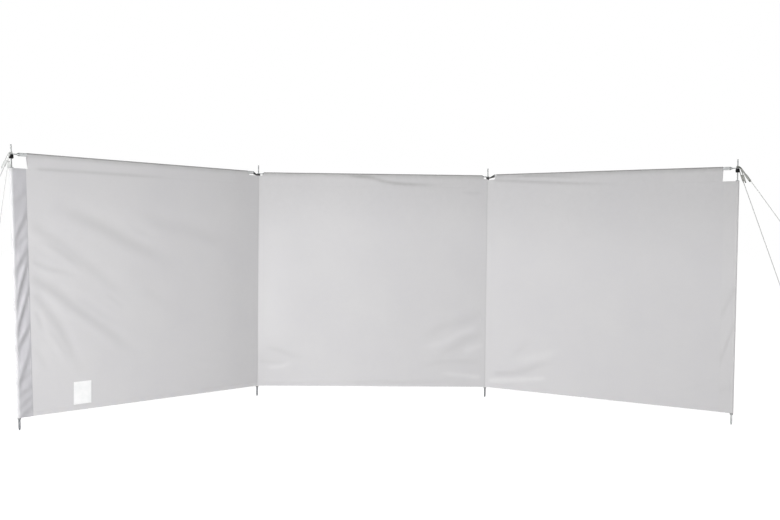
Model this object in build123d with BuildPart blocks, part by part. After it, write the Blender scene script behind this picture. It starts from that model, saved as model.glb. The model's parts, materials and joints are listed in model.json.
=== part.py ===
# Beach windbreak: three cloth bays hung on four ground poles and three top bars, guyed at both ends.
#
# Millimetres. The origin is the blunt tip of the inner left pole's ground spike, at ground level.
# +X runs along the middle bay to the right, +Y to the side where the guys pull back, +Z up.
from build123d import *

import os
from dataclasses import dataclass
from math import acos, atan2, cos, radians, sin, tan

os.makedirs("parts", exist_ok=True)

# Layout
bay_length = 1500  # between the pole centres, at the bar
fold_left = 40  # degrees that the left bay turns forward from the middle bay's line
fold_right = 30  # degrees, the same for the right bay
lean_left = 1.6  # degrees that the outer left pole leans out
lean_right = 0.2  # degrees, the same for the right one
bar_height = 1457  # centre of the side bars above the ground
middle_bar_drop = 5  # below the side bars
hem_height = 67

# Poles, pins and spikes
tube_radius = 9.5
tube_wall = 0.8
plug_fit = 0.1  # between a plug and the bore of its tube
tube_top_drop = 71  # below the bar's centre
tube_foot_drop = 7  # below the hem's lower edge
flange_height = 2
plug_length = 38
pin_radius = 3.5
pin_rise = 50  # pin tip above the side bars' centre
pin_chamfer = 1
spike_radius = 6
spike_point_radius = 3.5
spike_point_length = 12

# What sits on the pins
seat = 0.3  # between pieces that rest on each other
eye_rod_radius = 3
eye_clearance = 0.7
hook_thickness = 8
hook_radius = 11
hook_neck_radius = 7
hook_tongue_reach = 15
hook_tongue_rounding = 3
knob_radius = 11.5
knob_height = 21
knob_rounding = 5
stop_radius = 8.5
stop_height = 8
stop_rounding = 2
press_fit = 0.1

# Bars: from the pin's axis to the mouth of the tube
steel_eye_reach = 40
hook_reach_left = 43
hook_reach_right = 50
collar_length = 3
eye_taper_length = 12  # from the collar down to the rod
bar_plug_length = 28

# Cloth
cloth = 1
seam_width = 8
hem_width = 22
tunnel_depth = 80  # from the cloth's top edge to the tunnel's seam
inner_cut_drop = 26  # cloth edge below the bar's centre, where the bars meet at an inner pole
middle_tunnel_inset = 36
left_tunnel_inset = 85
right_tunnel_inset = 62
outer_tunnel_inset = 76
outer_seam_inset = 60
outer_sleeve_drop = 73
inner_sleeve_drop = 84
inner_seam_inset = 32
label_width = 96
label_height = 126
label_thickness = 0.5
label_inset = 366  # its centre from the outer left pole
label_rise = 34  # its lower edge above the hem's

# Guys
rope_radius = 2
guy_reach = 1150  # on the ground, from the pole to the peg
guy_azimuths = {
    "left_front": 266.5,
    "left_back": 124.5,
    "right_front": 298.5,
    "right_back": 37,
}
rope_bend_reach = 14  # the loop leaves the pin level and bends down here
tensioner_distance = 58
tensioner_length = 42
tensioner_width = 19
tensioner_thickness = 7
tensioner_rounding = 2
knot_radius = 3.5
knot_gap = 3
peg_radius = 3
peg_slope = 65  # degrees above the ground
peg_rise = 42
peg_hook_radius = 9
peg_hook_tail = 10
peg_loop_rise = 24
peg_buried = 12  # drawn past the ground, then cut off level with it

up = Vector(0, 0, 1)
cloth_back = tube_radius + seat
cloth_front = cloth_back + cloth
plug_radius = tube_radius - tube_wall - plug_fit
bore_radius = pin_radius + eye_clearance
eye_ring_radius = bore_radius + eye_rod_radius
hook_drop = hook_thickness / 2 + seat + eye_rod_radius + middle_bar_drop


def heading(degrees):
    """Return the level unit vector at an angle from +X."""
    return Vector(cos(radians(degrees)), sin(radians(degrees)), 0)


@dataclass(frozen=True)
class Bay:
    """One straight bay: its left pole's place on the ground, its direction and its bar's height."""

    start: Vector
    along: Vector
    height: float

    @property
    def back(self):
        return up.cross(self.along)

    def section(self, distance):
        """Plane across the bay, with its origin on the bar's axis, x to the back and y up."""
        origin = self.start + self.along * distance + up * self.height
        return Plane(origin, x_dir=self.back, z_dir=self.along)

    def face(self, forward):
        """Upright plane along the bay, forward of the poles' axes, with x along it and y up."""
        return Plane(self.start - self.back * forward, x_dir=self.along, z_dir=-self.back)


inner_left = Vector(0, 0, 0)
inner_right = inner_left + Vector(bay_length, 0, 0)
left_along = heading(fold_left)
right_along = heading(-fold_right)
left_bay = Bay(inner_left - left_along * bay_length, left_along, bar_height)
middle_bay = Bay(inner_left, Vector(1, 0, 0), bar_height - middle_bar_drop)
right_bay = Bay(inner_right, right_along, bar_height)


def pole_plane(foot, lean, out):
    """Plane at the bar's height, square to a pole that leans out by an angle."""
    axis = up * cos(radians(lean)) + out * sin(radians(lean))
    return Plane(foot + up * bar_height, x_dir=up.cross(out), z_dir=axis)


poles = {
    "outer_left": pole_plane(left_bay.start, lean_left, -left_along),
    "inner_left": pole_plane(inner_left, 0, -left_along),
    "inner_right": pole_plane(inner_right, 0, right_along),
    "outer_right": pole_plane(right_bay.start + right_along * bay_length, lean_right, right_along),
}
mitre_left = Plane(inner_left, z_dir=left_along + middle_bay.along)
mitre_right = Plane(inner_right, z_dir=right_along + middle_bay.along)


def save(piece, name):
    """Label a finished piece and write it as its own file."""
    piece.part.label = name
    export_step(piece.part, f"parts/{name}.step")


def through_axis(plane):
    """Plane that holds the pole's axis, with x as the radius and y up from the bar's centre."""
    return Plane(plane.origin, x_dir=plane.x_dir, z_dir=-plane.y_dir)


def turned(plane, outline):
    """Turn a closed outline of (radius, height) points about a pole's axis."""
    with BuildPart() as piece:
        with BuildSketch(through_axis(plane)):
            with BuildLine():
                Polyline(*outline, close=True)
            make_face()
        revolve(axis=Axis(plane.origin, plane.z_dir))
    return piece


# Ground poles: a steel tube, a pin plugged into its top and a spike plugged into its foot
tube_foot = hem_height - tube_foot_drop - bar_height

for side, plane in poles.items():
    with BuildPart() as tube:
        with BuildSketch(plane.offset(tube_foot)):
            Circle(tube_radius)
            Circle(tube_radius - tube_wall, mode=Mode.SUBTRACT)
        extrude(amount=-tube_top_drop - tube_foot)
    save(tube, f"pole_{side}")

    pin = turned(plane, [
        (0, -tube_top_drop - plug_length),
        (plug_radius, -tube_top_drop - plug_length),
        (plug_radius, -tube_top_drop),
        (tube_radius, -tube_top_drop),
        (tube_radius, -tube_top_drop + flange_height),
        (pin_radius, -tube_top_drop + flange_height),
        (pin_radius, pin_rise - pin_chamfer),
        (pin_radius - pin_chamfer, pin_rise),
        (0, pin_rise),
    ])
    save(pin, f"pin_{side}")

    spike = turned(plane, [
        (0, tube_foot + plug_length),
        (plug_radius, tube_foot + plug_length),
        (plug_radius, tube_foot),
        (tube_radius, tube_foot),
        (tube_radius, tube_foot - flange_height),
        (spike_radius, tube_foot - flange_height),
        (spike_radius, spike_point_length - bar_height),
        (spike_point_radius, -bar_height),
        (0, -bar_height),
    ])
    save(spike, f"spike_{side}")

    outer = side.startswith("outer")
    if outer:
        cap_top = -eye_rod_radius - seat
        cap_radius, cap_height, cap_rounding = knob_radius, knob_height, knob_rounding
    else:
        cap_top = -hook_drop - hook_thickness / 2 - seat
        cap_radius, cap_height, cap_rounding = stop_radius, stop_height, stop_rounding
    with BuildPart() as cap:
        with BuildSketch(plane.offset(cap_top)):
            Circle(cap_radius)
            Circle(pin_radius + press_fit, mode=Mode.SUBTRACT)
        extrude(amount=-cap_height)
        fillet(cap.edges().filter_by(GeomType.CIRCLE).group_by(SortBy.RADIUS)[-1], cap_rounding)
    save(cap, f"knob_{side}" if outer else f"stop_{side}")


# Top bars: a steel tube with an eye fitting plugged into each end
def bar_tube(bay, start_reach, end_reach):
    """Tube of a bar between its two fittings."""
    with BuildPart() as tube:
        with BuildSketch(bay.section(start_reach)):
            Circle(tube_radius)
            Circle(tube_radius - tube_wall, mode=Mode.SUBTRACT)
        extrude(amount=bay_length - end_reach - start_reach)
    return tube


def steel_eye(bay, plane, at_start):
    """Rod bent into an eye round the pin, with the taper, collar and plug that hold it in the bar."""
    pin_distance, inward = (0, 1) if at_start else (bay_length, -1)
    mouth = pin_distance + inward * steel_eye_reach
    rod_start = pin_distance + inward * eye_ring_radius
    ring_height = bay.height - bar_height
    with BuildPart() as eye:
        with BuildSketch(through_axis(plane)):
            with Locations((eye_ring_radius, ring_height)):
                Circle(eye_rod_radius)
        revolve(axis=Axis(plane.origin, plane.z_dir))
        with BuildSketch(bay.section(rod_start)):
            Circle(eye_rod_radius)
        extrude(amount=mouth - rod_start)
        with BuildSketch(bay.section(mouth - inward * (collar_length + eye_taper_length))):
            Circle(eye_rod_radius)
        with BuildSketch(bay.section(mouth - inward * collar_length)):
            Circle(tube_radius)
        loft()
        with BuildSketch(bay.section(mouth)):
            Circle(tube_radius)
        extrude(amount=-inward * collar_length)
        with BuildSketch(bay.section(mouth)):
            Circle(plug_radius)
        extrude(amount=inward * bar_plug_length)
    return eye


def moulded_hook(bay, plane, at_start, reach):
    """Moulded eye on a tapered neck, with a collar and a plug in the bar."""
    pin_distance, inward = (0, 1) if at_start else (bay_length, -1)
    mouth = pin_distance + inward * reach
    tongue_end = pin_distance + inward * hook_tongue_reach
    with BuildPart() as hook:
        with BuildSketch(plane.offset(-hook_drop - hook_thickness / 2)):
            Circle(hook_radius)
        extrude(amount=hook_thickness)
        with BuildSketch(bay.section(tongue_end)):
            with Locations((0, -hook_drop)):
                RectangleRounded(2 * hook_neck_radius, hook_thickness, hook_tongue_rounding)
        extrude(amount=-inward * (hook_tongue_reach - bore_radius))
        with BuildSketch(plane.offset(-hook_drop - hook_thickness / 2)):
            Circle(bore_radius)
        extrude(amount=hook_thickness, mode=Mode.SUBTRACT)
        with BuildSketch(bay.section(tongue_end)):
            with Locations((0, -hook_drop)):
                RectangleRounded(2 * hook_neck_radius, hook_thickness, hook_tongue_rounding)
        with BuildSketch(bay.section(mouth - inward * collar_length)):
            Circle(tube_radius)
        loft()
        with BuildSketch(bay.section(mouth - inward * collar_length)):
            Circle(tube_radius)
        extrude(amount=inward * collar_length)
        with BuildSketch(bay.section(mouth)):
            Circle(plug_radius)
        extrude(amount=inward * bar_plug_length)
    return hook


save(bar_tube(left_bay, steel_eye_reach, hook_reach_left), "bar_left")
save(bar_tube(middle_bay, steel_eye_reach, steel_eye_reach), "bar_middle")
save(bar_tube(right_bay, hook_reach_right, steel_eye_reach), "bar_right")
save(steel_eye(left_bay, poles["outer_left"], True), "eye_left_outer")
save(moulded_hook(left_bay, poles["inner_left"], False, hook_reach_left), "hook_left_inner")
save(steel_eye(middle_bay, poles["inner_left"], True), "eye_middle_left")
save(steel_eye(middle_bay, poles["inner_right"], False), "eye_middle_right")
save(moulded_hook(right_bay, poles["inner_right"], True, hook_reach_right), "hook_right_inner")
save(steel_eye(right_bay, poles["outer_right"], False), "eye_right_outer")


# Cloth that goes round a tube is drawn as two faces: straight on to the tube, round it and off again
def touch(radius, corner, turn):
    """Point where a line from a corner touches a circle about the origin, on the side turned to."""
    angle = atan2(corner.Y, corner.X) + turn * acos(radius / corner.length)
    return Vector(radius * cos(angle), radius * sin(angle))


def around(radius, first, second, crown):
    """Draw one face of the cloth, from its first corner round the tube past the crown to its second."""
    onto = touch(radius, first, -1)
    off = touch(radius, second, 1)
    Line(first, onto)
    ThreePointArc(onto, crown.normalized() * radius, off)
    Line(off, second)


# Panels: flat sheets that pass in front of the poles, each folded back over its bar as a tunnel
def panel(bay, tunnel, drops, hem_edges, sides):
    """Panel split off at its sides, with its tunnel and hem between their own ends along the bay.

    Past each end of the tunnel its back is cut away, and its front above a drop below the side bars.
    """
    seam = cloth_front - tunnel_depth
    hem = hem_height - bay.height
    with BuildPart() as piece:
        with BuildSketch(bay.section(0)):
            with BuildLine():
                around(cloth_front, Vector(-cloth_front, seam), Vector(cloth - cloth_back, seam), Vector(0, 1))
                Polyline((cloth - cloth_back, seam), (cloth - cloth_back, seam - seam_width),
                         (-cloth_back, seam - seam_width), (-cloth_back, hem),
                         (-cloth_front - cloth, hem), (-cloth_front - cloth, hem + hem_width),
                         (-cloth_front, hem + hem_width), (-cloth_front, seam))
            make_face()
            with BuildLine():
                around(cloth_back, Vector(-cloth_back, seam), Vector(-cloth_back, seam), Vector(0, 1))
            make_face(mode=Mode.SUBTRACT)
        extrude(amount=bay_length)
        for start, end, drop in ((0, tunnel[0], drops[0]), (tunnel[1], bay_length, drops[1])):
            with BuildSketch(bay.section(start)):
                with Locations((0, bar_height - drop - bay.height)):
                    Rectangle(2 * tunnel_depth, drop + tunnel_depth, align=(Align.CENTER, Align.MIN))
                with Locations((-cloth_back, seam - seam_width)):
                    Rectangle(2 * tunnel_depth, 2 * tunnel_depth, align=(Align.MIN, Align.MIN))
            extrude(amount=end - start, mode=Mode.SUBTRACT)
        for start, end in ((0, hem_edges[0]), (hem_edges[1], bay_length)):
            if end > start:
                with BuildSketch(bay.section(start)):
                    with Locations((-cloth_front, hem - cloth)):
                        Rectangle(2 * cloth, hem_width + 2 * cloth, align=(Align.MAX, Align.MIN))
                extrude(amount=end - start, mode=Mode.SUBTRACT)
        for side, kept in sides:
            split(bisect_by=side, keep=kept)
    return piece


def seam_plane(plane, bay, inward):
    """Plane of an outer sleeve's seam: across the bay, and parallel to the leaning pole."""
    across = plane.z_dir.cross(bay.back)
    return Plane(plane.origin + inward * outer_seam_inset, z_dir=across if across.dot(bay.along) > 0 else -across)


def hem_inset(lean):
    """Distance from the bay's end to where the hem starts, clear of the outer sleeve's flap."""
    return outer_seam_inset + seam_width + seat + (bar_height - hem_height) * tan(radians(lean))


seam_left = seam_plane(poles["outer_left"], left_bay, left_along)
seam_right = seam_plane(poles["outer_right"], right_bay, -right_along)
save(panel(left_bay, (outer_tunnel_inset, bay_length - left_tunnel_inset),
           (outer_sleeve_drop, inner_cut_drop), (hem_inset(lean_left), bay_length),
           [(seam_left, Keep.TOP), (mitre_left, Keep.BOTTOM)]), "panel_left")
save(panel(middle_bay, (middle_tunnel_inset, bay_length - middle_tunnel_inset),
           (inner_cut_drop, inner_cut_drop), (0, bay_length),
           [(mitre_left, Keep.TOP), (mitre_right, Keep.BOTTOM)]), "panel_middle")
save(panel(right_bay, (right_tunnel_inset, bay_length - outer_tunnel_inset),
           (inner_cut_drop, outer_sleeve_drop), (0, bay_length - hem_inset(lean_right)),
           [(mitre_right, Keep.TOP), (seam_right, Keep.BOTTOM)]), "panel_right")


# Outer sleeves: a strip folded round the end pole, its two edges sewn on both faces of the panel
def outer_sleeve(plane, bay, at_start):
    """Sleeve along a leaning pole, its lower and upper ends level."""
    inward = bay.along if at_start else -bay.along
    low = plane.origin + plane.z_dir * ((hem_height - bar_height) / plane.z_dir.Z)
    front, inside, behind = -cloth_front - cloth, -cloth_front, -cloth_back + cloth
    seam, flap = outer_seam_inset, outer_seam_inset + seam_width
    with BuildPart() as piece:
        with BuildSketch(Plane(low, x_dir=inward, z_dir=inward.cross(bay.back))):
            with BuildLine():
                around(cloth_front, Vector(seam, front), Vector(seam, behind), Vector(-1, 0))
                Polyline((seam, front), (flap, front), (flap, inside), (seam, inside))
                around(cloth_back, Vector(seam, inside), Vector(seam, -cloth_back), Vector(-1, 0))
                Polyline((seam, -cloth_back), (flap, -cloth_back), (flap, behind), (seam, behind))
            make_face()
        extrude(amount=(bar_height - outer_sleeve_drop - hem_height) / plane.z_dir.Z, dir=plane.z_dir)
    return piece


save(outer_sleeve(poles["outer_left"], left_bay, True), "sleeve_outer_left")
save(outer_sleeve(poles["outer_right"], right_bay, False), "sleeve_outer_right")


# Inner sleeves: a strip behind each inner pole, sewn to the backs of both panels
def inner_sleeve(foot, left, right):
    """Sleeve round the back of an inner pole, from the left panel's back to the right one's."""
    left_seam = -left.along * inner_seam_inset - left.back * cloth_back
    right_seam = right.along * inner_seam_inset - right.back * cloth_back
    crown = left.back + right.back
    with BuildPart() as piece:
        with BuildSketch(Plane(foot + up * hem_height)):
            with BuildLine():
                around(cloth_back, left_seam, right_seam, crown)
                Polyline(right_seam, right_seam + right.along * seam_width,
                         right_seam + right.along * seam_width + right.back * cloth,
                         right_seam + right.back * cloth)
                around(cloth_front, left_seam + left.back * cloth, right_seam + right.back * cloth, crown)
                Polyline(left_seam, left_seam - left.along * seam_width,
                         left_seam - left.along * seam_width + left.back * cloth,
                         left_seam + left.back * cloth)
            make_face()
        extrude(amount=bar_height - inner_sleeve_drop - hem_height)
    return piece


save(inner_sleeve(inner_left, left_bay, middle_bay), "sleeve_inner_left")
save(inner_sleeve(inner_right, middle_bay, right_bay), "sleeve_inner_right")

# Blank patch sewn on the left panel
with BuildPart() as label_patch:
    with BuildSketch(left_bay.face(cloth_front)):
        with Locations((label_inset, hem_height + label_rise + label_height / 2)):
            RectangleRounded(label_width, label_height, 2 * cloth)
    extrude(amount=label_thickness)
save(label_patch, "label_patch")


# Guys: a rope looped over the pin, doubled down to its tensioner and single from there to a peg
def guy(side, azimuth, level):
    """Build one rope, its tensioner and its peg, with the loop at a level above the bar's eye."""
    plane = poles["outer_left" if side.startswith("left") else "outer_right"]
    out = heading(azimuth)
    loop_radius = pin_radius + seat + rope_radius
    loop_height = eye_rod_radius + (seat + rope_radius) * (2 * level + 1) - seat * level
    loop_centre = plane.origin + plane.z_dir * loop_height
    across = (up.cross(out)).normalized()
    shaft = out * cos(radians(peg_slope)) + up * sin(radians(peg_slope))
    facing = out * sin(radians(peg_slope)) - up * cos(radians(peg_slope))
    peg_foot = Vector(plane.origin.X, plane.origin.Y, 0) + out * guy_reach
    peg_loop_radius = peg_radius + seat + rope_radius
    peg_loop = peg_foot + shaft * peg_loop_rise
    rope_end = peg_loop - facing * (peg_radius + 2 * seat + knot_radius)
    bend = loop_centre + out * rope_bend_reach
    wide = across * loop_radius
    slope = (rope_end - bend - wide).normalized()
    knot = bend - wide + slope * (tensioner_distance + tensioner_length + knot_gap + knot_radius)

    with BuildPart() as rope:
        with BuildLine() as route:
            Polyline(knot, bend - wide, loop_centre - wide)
            ThreePointArc(loop_centre - wide, loop_centre - out * loop_radius, loop_centre + wide)
            Polyline(loop_centre + wide, bend + wide, rope_end)
        with BuildSketch(Plane(knot, z_dir=route.line % 0)):
            Circle(rope_radius)
        sweep(path=route.line, transition=Transition.RIGHT)
        with BuildSketch(through_axis(Plane(peg_loop, x_dir=facing, z_dir=shaft))):
            with Locations((peg_loop_radius, 0)):
                Circle(rope_radius)
        revolve(axis=Axis(peg_loop, shaft))
        for end in (knot, rope_end):
            with Locations(Plane(end, x_dir=across, z_dir=slope)):
                Sphere(knot_radius)
    save(rope, f"guy_{side}")

    mouth = Plane(bend + slope * tensioner_distance, x_dir=across, z_dir=slope)
    with BuildPart() as tensioner:
        with BuildSketch(mouth):
            RectangleRounded(tensioner_width, tensioner_thickness, tensioner_rounding)
            with GridLocations(2 * loop_radius, 0, 2, 1):
                Circle(rope_radius + seat, mode=Mode.SUBTRACT)
        extrude(amount=tensioner_length)
    save(tensioner, f"tensioner_{side}")

    with BuildPart() as peg:
        with BuildLine(Plane(peg_foot, x_dir=out, z_dir=out.cross(up))) as spine:
            lower = Line((-peg_buried * cos(radians(peg_slope)), -peg_buried * sin(radians(peg_slope))),
                         (peg_rise * cos(radians(peg_slope)), peg_rise * sin(radians(peg_slope))))
            crook = JernArc(lower @ 1, lower % 1, peg_hook_radius, -180)
            Line(crook @ 1, crook @ 1 + (crook % 1) * peg_hook_tail)
        with BuildSketch(Plane(spine.line @ 0, z_dir=spine.line % 0)):
            Circle(peg_radius)
        sweep(path=spine.line)
        split(bisect_by=Plane.XY, keep=Keep.TOP)
    save(peg, f"peg_{side}")


for side, azimuth in guy_azimuths.items():
    guy(side, azimuth, 0 if side.endswith("front") else 1)
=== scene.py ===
"""Dressed model of a three-bay beach windbreak: cloth, stitching, ropes, finishes, floor, light and camera.

Metres, in the same frame as the CAD: the origin is the tip of the inner left spike, +X runs along the
middle bay, +Y is the windward back of the cloth and +Z is up.
"""
import json
import logging
import math
from dataclasses import dataclass, field
from enum import Enum
from typing import Callable, Iterable, Sequence

import bmesh
import bpy
from mathutils import Matrix, Vector, noise


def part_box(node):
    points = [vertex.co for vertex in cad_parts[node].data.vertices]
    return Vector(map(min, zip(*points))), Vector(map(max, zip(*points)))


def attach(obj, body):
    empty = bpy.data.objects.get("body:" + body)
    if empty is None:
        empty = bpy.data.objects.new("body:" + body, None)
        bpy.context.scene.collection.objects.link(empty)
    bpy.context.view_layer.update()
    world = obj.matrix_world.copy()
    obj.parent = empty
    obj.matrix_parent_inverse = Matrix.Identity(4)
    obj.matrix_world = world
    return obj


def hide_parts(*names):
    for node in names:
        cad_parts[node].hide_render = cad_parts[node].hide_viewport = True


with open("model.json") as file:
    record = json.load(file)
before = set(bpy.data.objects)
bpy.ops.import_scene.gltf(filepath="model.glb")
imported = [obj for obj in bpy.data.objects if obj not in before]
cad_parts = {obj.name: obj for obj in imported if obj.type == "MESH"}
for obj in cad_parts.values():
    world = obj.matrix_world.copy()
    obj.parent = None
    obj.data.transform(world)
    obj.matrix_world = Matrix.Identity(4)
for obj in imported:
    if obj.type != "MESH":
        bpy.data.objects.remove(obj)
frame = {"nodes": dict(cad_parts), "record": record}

log = logging.getLogger("windbreak")

CLOTH_THICKNESS = 0.0005
CLOTH_RADIUS = 0.0103  # middle of the cloth, from the axis of a tube that it lies on
LAYER = 0.0006  # between the middles of two layers sewn together
TUBE_RADIUS = 0.0095
THREAD_RADIUS = 0.0004
SEAM_STEP = 0.02  # between the points that a row of stitches is drawn through
SEAM_MARGIN = 0.004  # from the end of a seam to its first stitch
BRAID_PITCH = 0.012  # length of cord in which its yarns go round once
HEM_HEIGHT = 0.067  # of the cloth's lower edge above the ground
WAVE_BAND = 0.314  # from one band of a Wave texture to the next, at a scale of 1
UP = Vector((0, 0, 1))

Flat = tuple[float, float]  # a place on something flat, or its size
Stitch = tuple[Vector, Vector, Vector, float]  # its centre, direction, way off the cloth and length


# ---------------------------------------------------------------- small helpers


def linear(hex_colour: str) -> tuple[float, float, float, float]:
    """Turn an sRGB hex colour into the linear colour that Blender's sockets take.

    Args:
        hex_colour: Six hex digits, such as "c8c8ca".

    Returns:
        Linear red, green and blue with an alpha of 1.
    """
    parts = [int(hex_colour[i:i + 2], 16) / 255 for i in (0, 2, 4)]
    red, green, blue = (c / 12.92 if c <= 0.04045 else ((c + 0.055) / 1.055) ** 2.4 for c in parts)
    return red, green, blue, 1.0


def add_node(tree: bpy.types.NodeTree, kind: str, inputs: dict | None = None, **settings) -> bpy.types.Node:
    """Add one shader node, set it up and link it.

    Args:
        tree: Node tree that takes the node.
        kind: Blender's name of the node after "ShaderNode".
        inputs: Socket name or number to a plain value, or to the output socket that feeds it.
        settings: Attributes of the node itself, such as operation.

    Returns:
        The node.
    """
    node = tree.nodes.new("ShaderNode" + kind)
    for name, value in settings.items():
        setattr(node, name, value)
    for key, value in (inputs or {}).items():
        if isinstance(value, bpy.types.NodeSocket):
            tree.links.new(value, node.inputs[key])
        else:
            node.inputs[key].default_value = value
    return node


def new_tree(name: str) -> tuple[bpy.types.Material, bpy.types.NodeTree]:
    """Make a material with an empty node tree.

    Args:
        name: The material's name.

    Returns:
        The material and its tree.
    """
    material = bpy.data.materials.new(name)
    material.use_nodes = True
    material.node_tree.nodes.clear()
    return material, material.node_tree


def finish_surface(tree: bpy.types.NodeTree, inputs: dict) -> None:
    """End a material with a Principled surface that has the given inputs."""
    surface = add_node(tree, "BsdfPrincipled", inputs)
    add_node(tree, "OutputMaterial", {"Surface": surface.outputs[0]})


def ramp(tree: bpy.types.NodeTree, factor: bpy.types.NodeSocket,
         stops: Sequence[tuple[float, str]]) -> bpy.types.NodeSocket:
    """Colour a grey pattern through stops.

    Args:
        tree: Node tree that takes the ramp.
        factor: Grey pattern from 0 to 1.
        stops: Positions with their sRGB hex colours, in order.

    Returns:
        The ramp's colour output.
    """
    node = add_node(tree, "ValToRGB", {0: factor})
    elements = node.color_ramp.elements
    while len(elements) < len(stops):
        elements.new(0.5)
    for element, (position, colour) in zip(elements, stops):
        element.position = position
        element.color = linear(colour)
    return node.outputs[0]


def smooth(x: float) -> float:
    """Ease from 0 to 1 as x goes from 0 to 1."""
    x = min(1.0, max(0.0, x))
    return x * x * (3 - 2 * x)


def steps(start: float, end: float, pitch: float, keep: Iterable[float] = ()) -> list[float]:
    """Split a run into nearly equal steps that also stop at given places, where these lie 1 mm apart or more.

    Args:
        start: Lower end of the run.
        end: Upper end of the run.
        pitch: Longest step.
        keep: Places where a step has to end.

    Returns:
        All places in rising order, the two ends among them.
    """
    stops = [start]
    for stop in sorted(k for k in keep if start < k < end - 0.001):
        if stop > stops[-1] + 0.001:
            stops.append(stop)
    stops.append(end)
    places = [start]
    for low, high in zip(stops, stops[1:]):
        count = max(1, math.ceil((high - low) / pitch - 1e-6))
        places += [low + (high - low) * i / count for i in range(1, count + 1)]
    return places


def close_mesh(shape: bmesh.types.BMesh, name: str) -> bpy.types.Mesh:
    """Turn a finished shape into a mesh.

    Args:
        shape: The shape, which is used up.
        name: The mesh's name.

    Returns:
        The mesh.
    """
    mesh = bpy.data.meshes.new(name)
    shape.to_mesh(mesh)
    shape.free()
    return mesh


def new_piece(name: str, mesh: bpy.types.Mesh, material: bpy.types.Material) -> bpy.types.Object:
    """Link a mesh as a piece that rides on the windbreak's one body.

    Args:
        name: Piece name.
        mesh: Finished mesh.
        material: Its finish.

    Returns:
        The piece.
    """
    piece = bpy.data.objects.new(name, mesh)
    bpy.context.scene.collection.objects.link(piece)
    if not mesh.materials:
        mesh.materials.append(material)
    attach(piece, "root")
    return piece


def new_sheet(*layers: str) -> tuple[bmesh.types.BMesh, list[bmesh.types.BMLayerItem]]:
    """Start a sheet of cloth.

    Args:
        layers: Names of the numbers that each of its points holds.

    Returns:
        An empty mesh with a UV layer for the flat cut, and the layers of those numbers.
    """
    shape = bmesh.new()
    shape.loops.layers.uv.new("cut")
    return shape, [shape.verts.layers.float.new(name) for name in layers]


def fill(shape: bmesh.types.BMesh, grid: Sequence[Sequence[tuple[bmesh.types.BMVert, Flat]]],
         kept: Callable[[int, int], bool] | None = None) -> None:
    """Close a sheet's grid of points with quads.

    Args:
        shape: Mesh that holds the points.
        grid: Rows of points, each with its place on the flat cut in metres.
        kept: Tells whether the quad past a row and a column is there, where some are cut away.
    """
    cut = shape.loops.layers.uv["cut"]
    for row, (low, high) in enumerate(zip(grid, grid[1:])):
        for column in range(len(low) - 1):
            if kept and not kept(row, column):
                continue
            corners = (low[column], low[column + 1], high[column + 1], high[column])
            face = shape.faces.new([vert for vert, place in corners])
            face.smooth = True
            for loop, (vert, place) in zip(face.loops, corners):
                loop[cut].uv = place


def sew(shape: bmesh.types.BMesh, node: str, material: bpy.types.Material,
        thickness: float = CLOTH_THICKNESS) -> bpy.types.Object:
    """Turn a finished sheet into a piece of cloth that stands for its CAD node.

    Args:
        shape: The sheet, whose cut edges are made sharp. It is used up.
        node: The CAD node.
        material: The cloth's finish.
        thickness: Its real thickness, laid evenly to both sides.

    Returns:
        The piece.
    """
    for edge in shape.edges:
        edge.smooth = not edge.is_boundary
    piece = new_piece(f"cloth_{node}", close_mesh(shape, node), material)
    solid = piece.modifiers.new("thickness", "SOLIDIFY")
    solid.thickness = thickness
    solid.offset = 0
    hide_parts(node)
    return piece


def run_lengths(points: Sequence[Sequence[float]]) -> list[float]:
    """Measure a line from its start to each of its points.

    Args:
        points: The line's points.

    Returns:
        A length for each point.
    """
    lengths = [0.0]
    for a, b in zip(points, points[1:]):
        lengths.append(lengths[-1] + math.dist(a, b))
    return lengths


# ---------------------------------------------------------------- finishes


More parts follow.
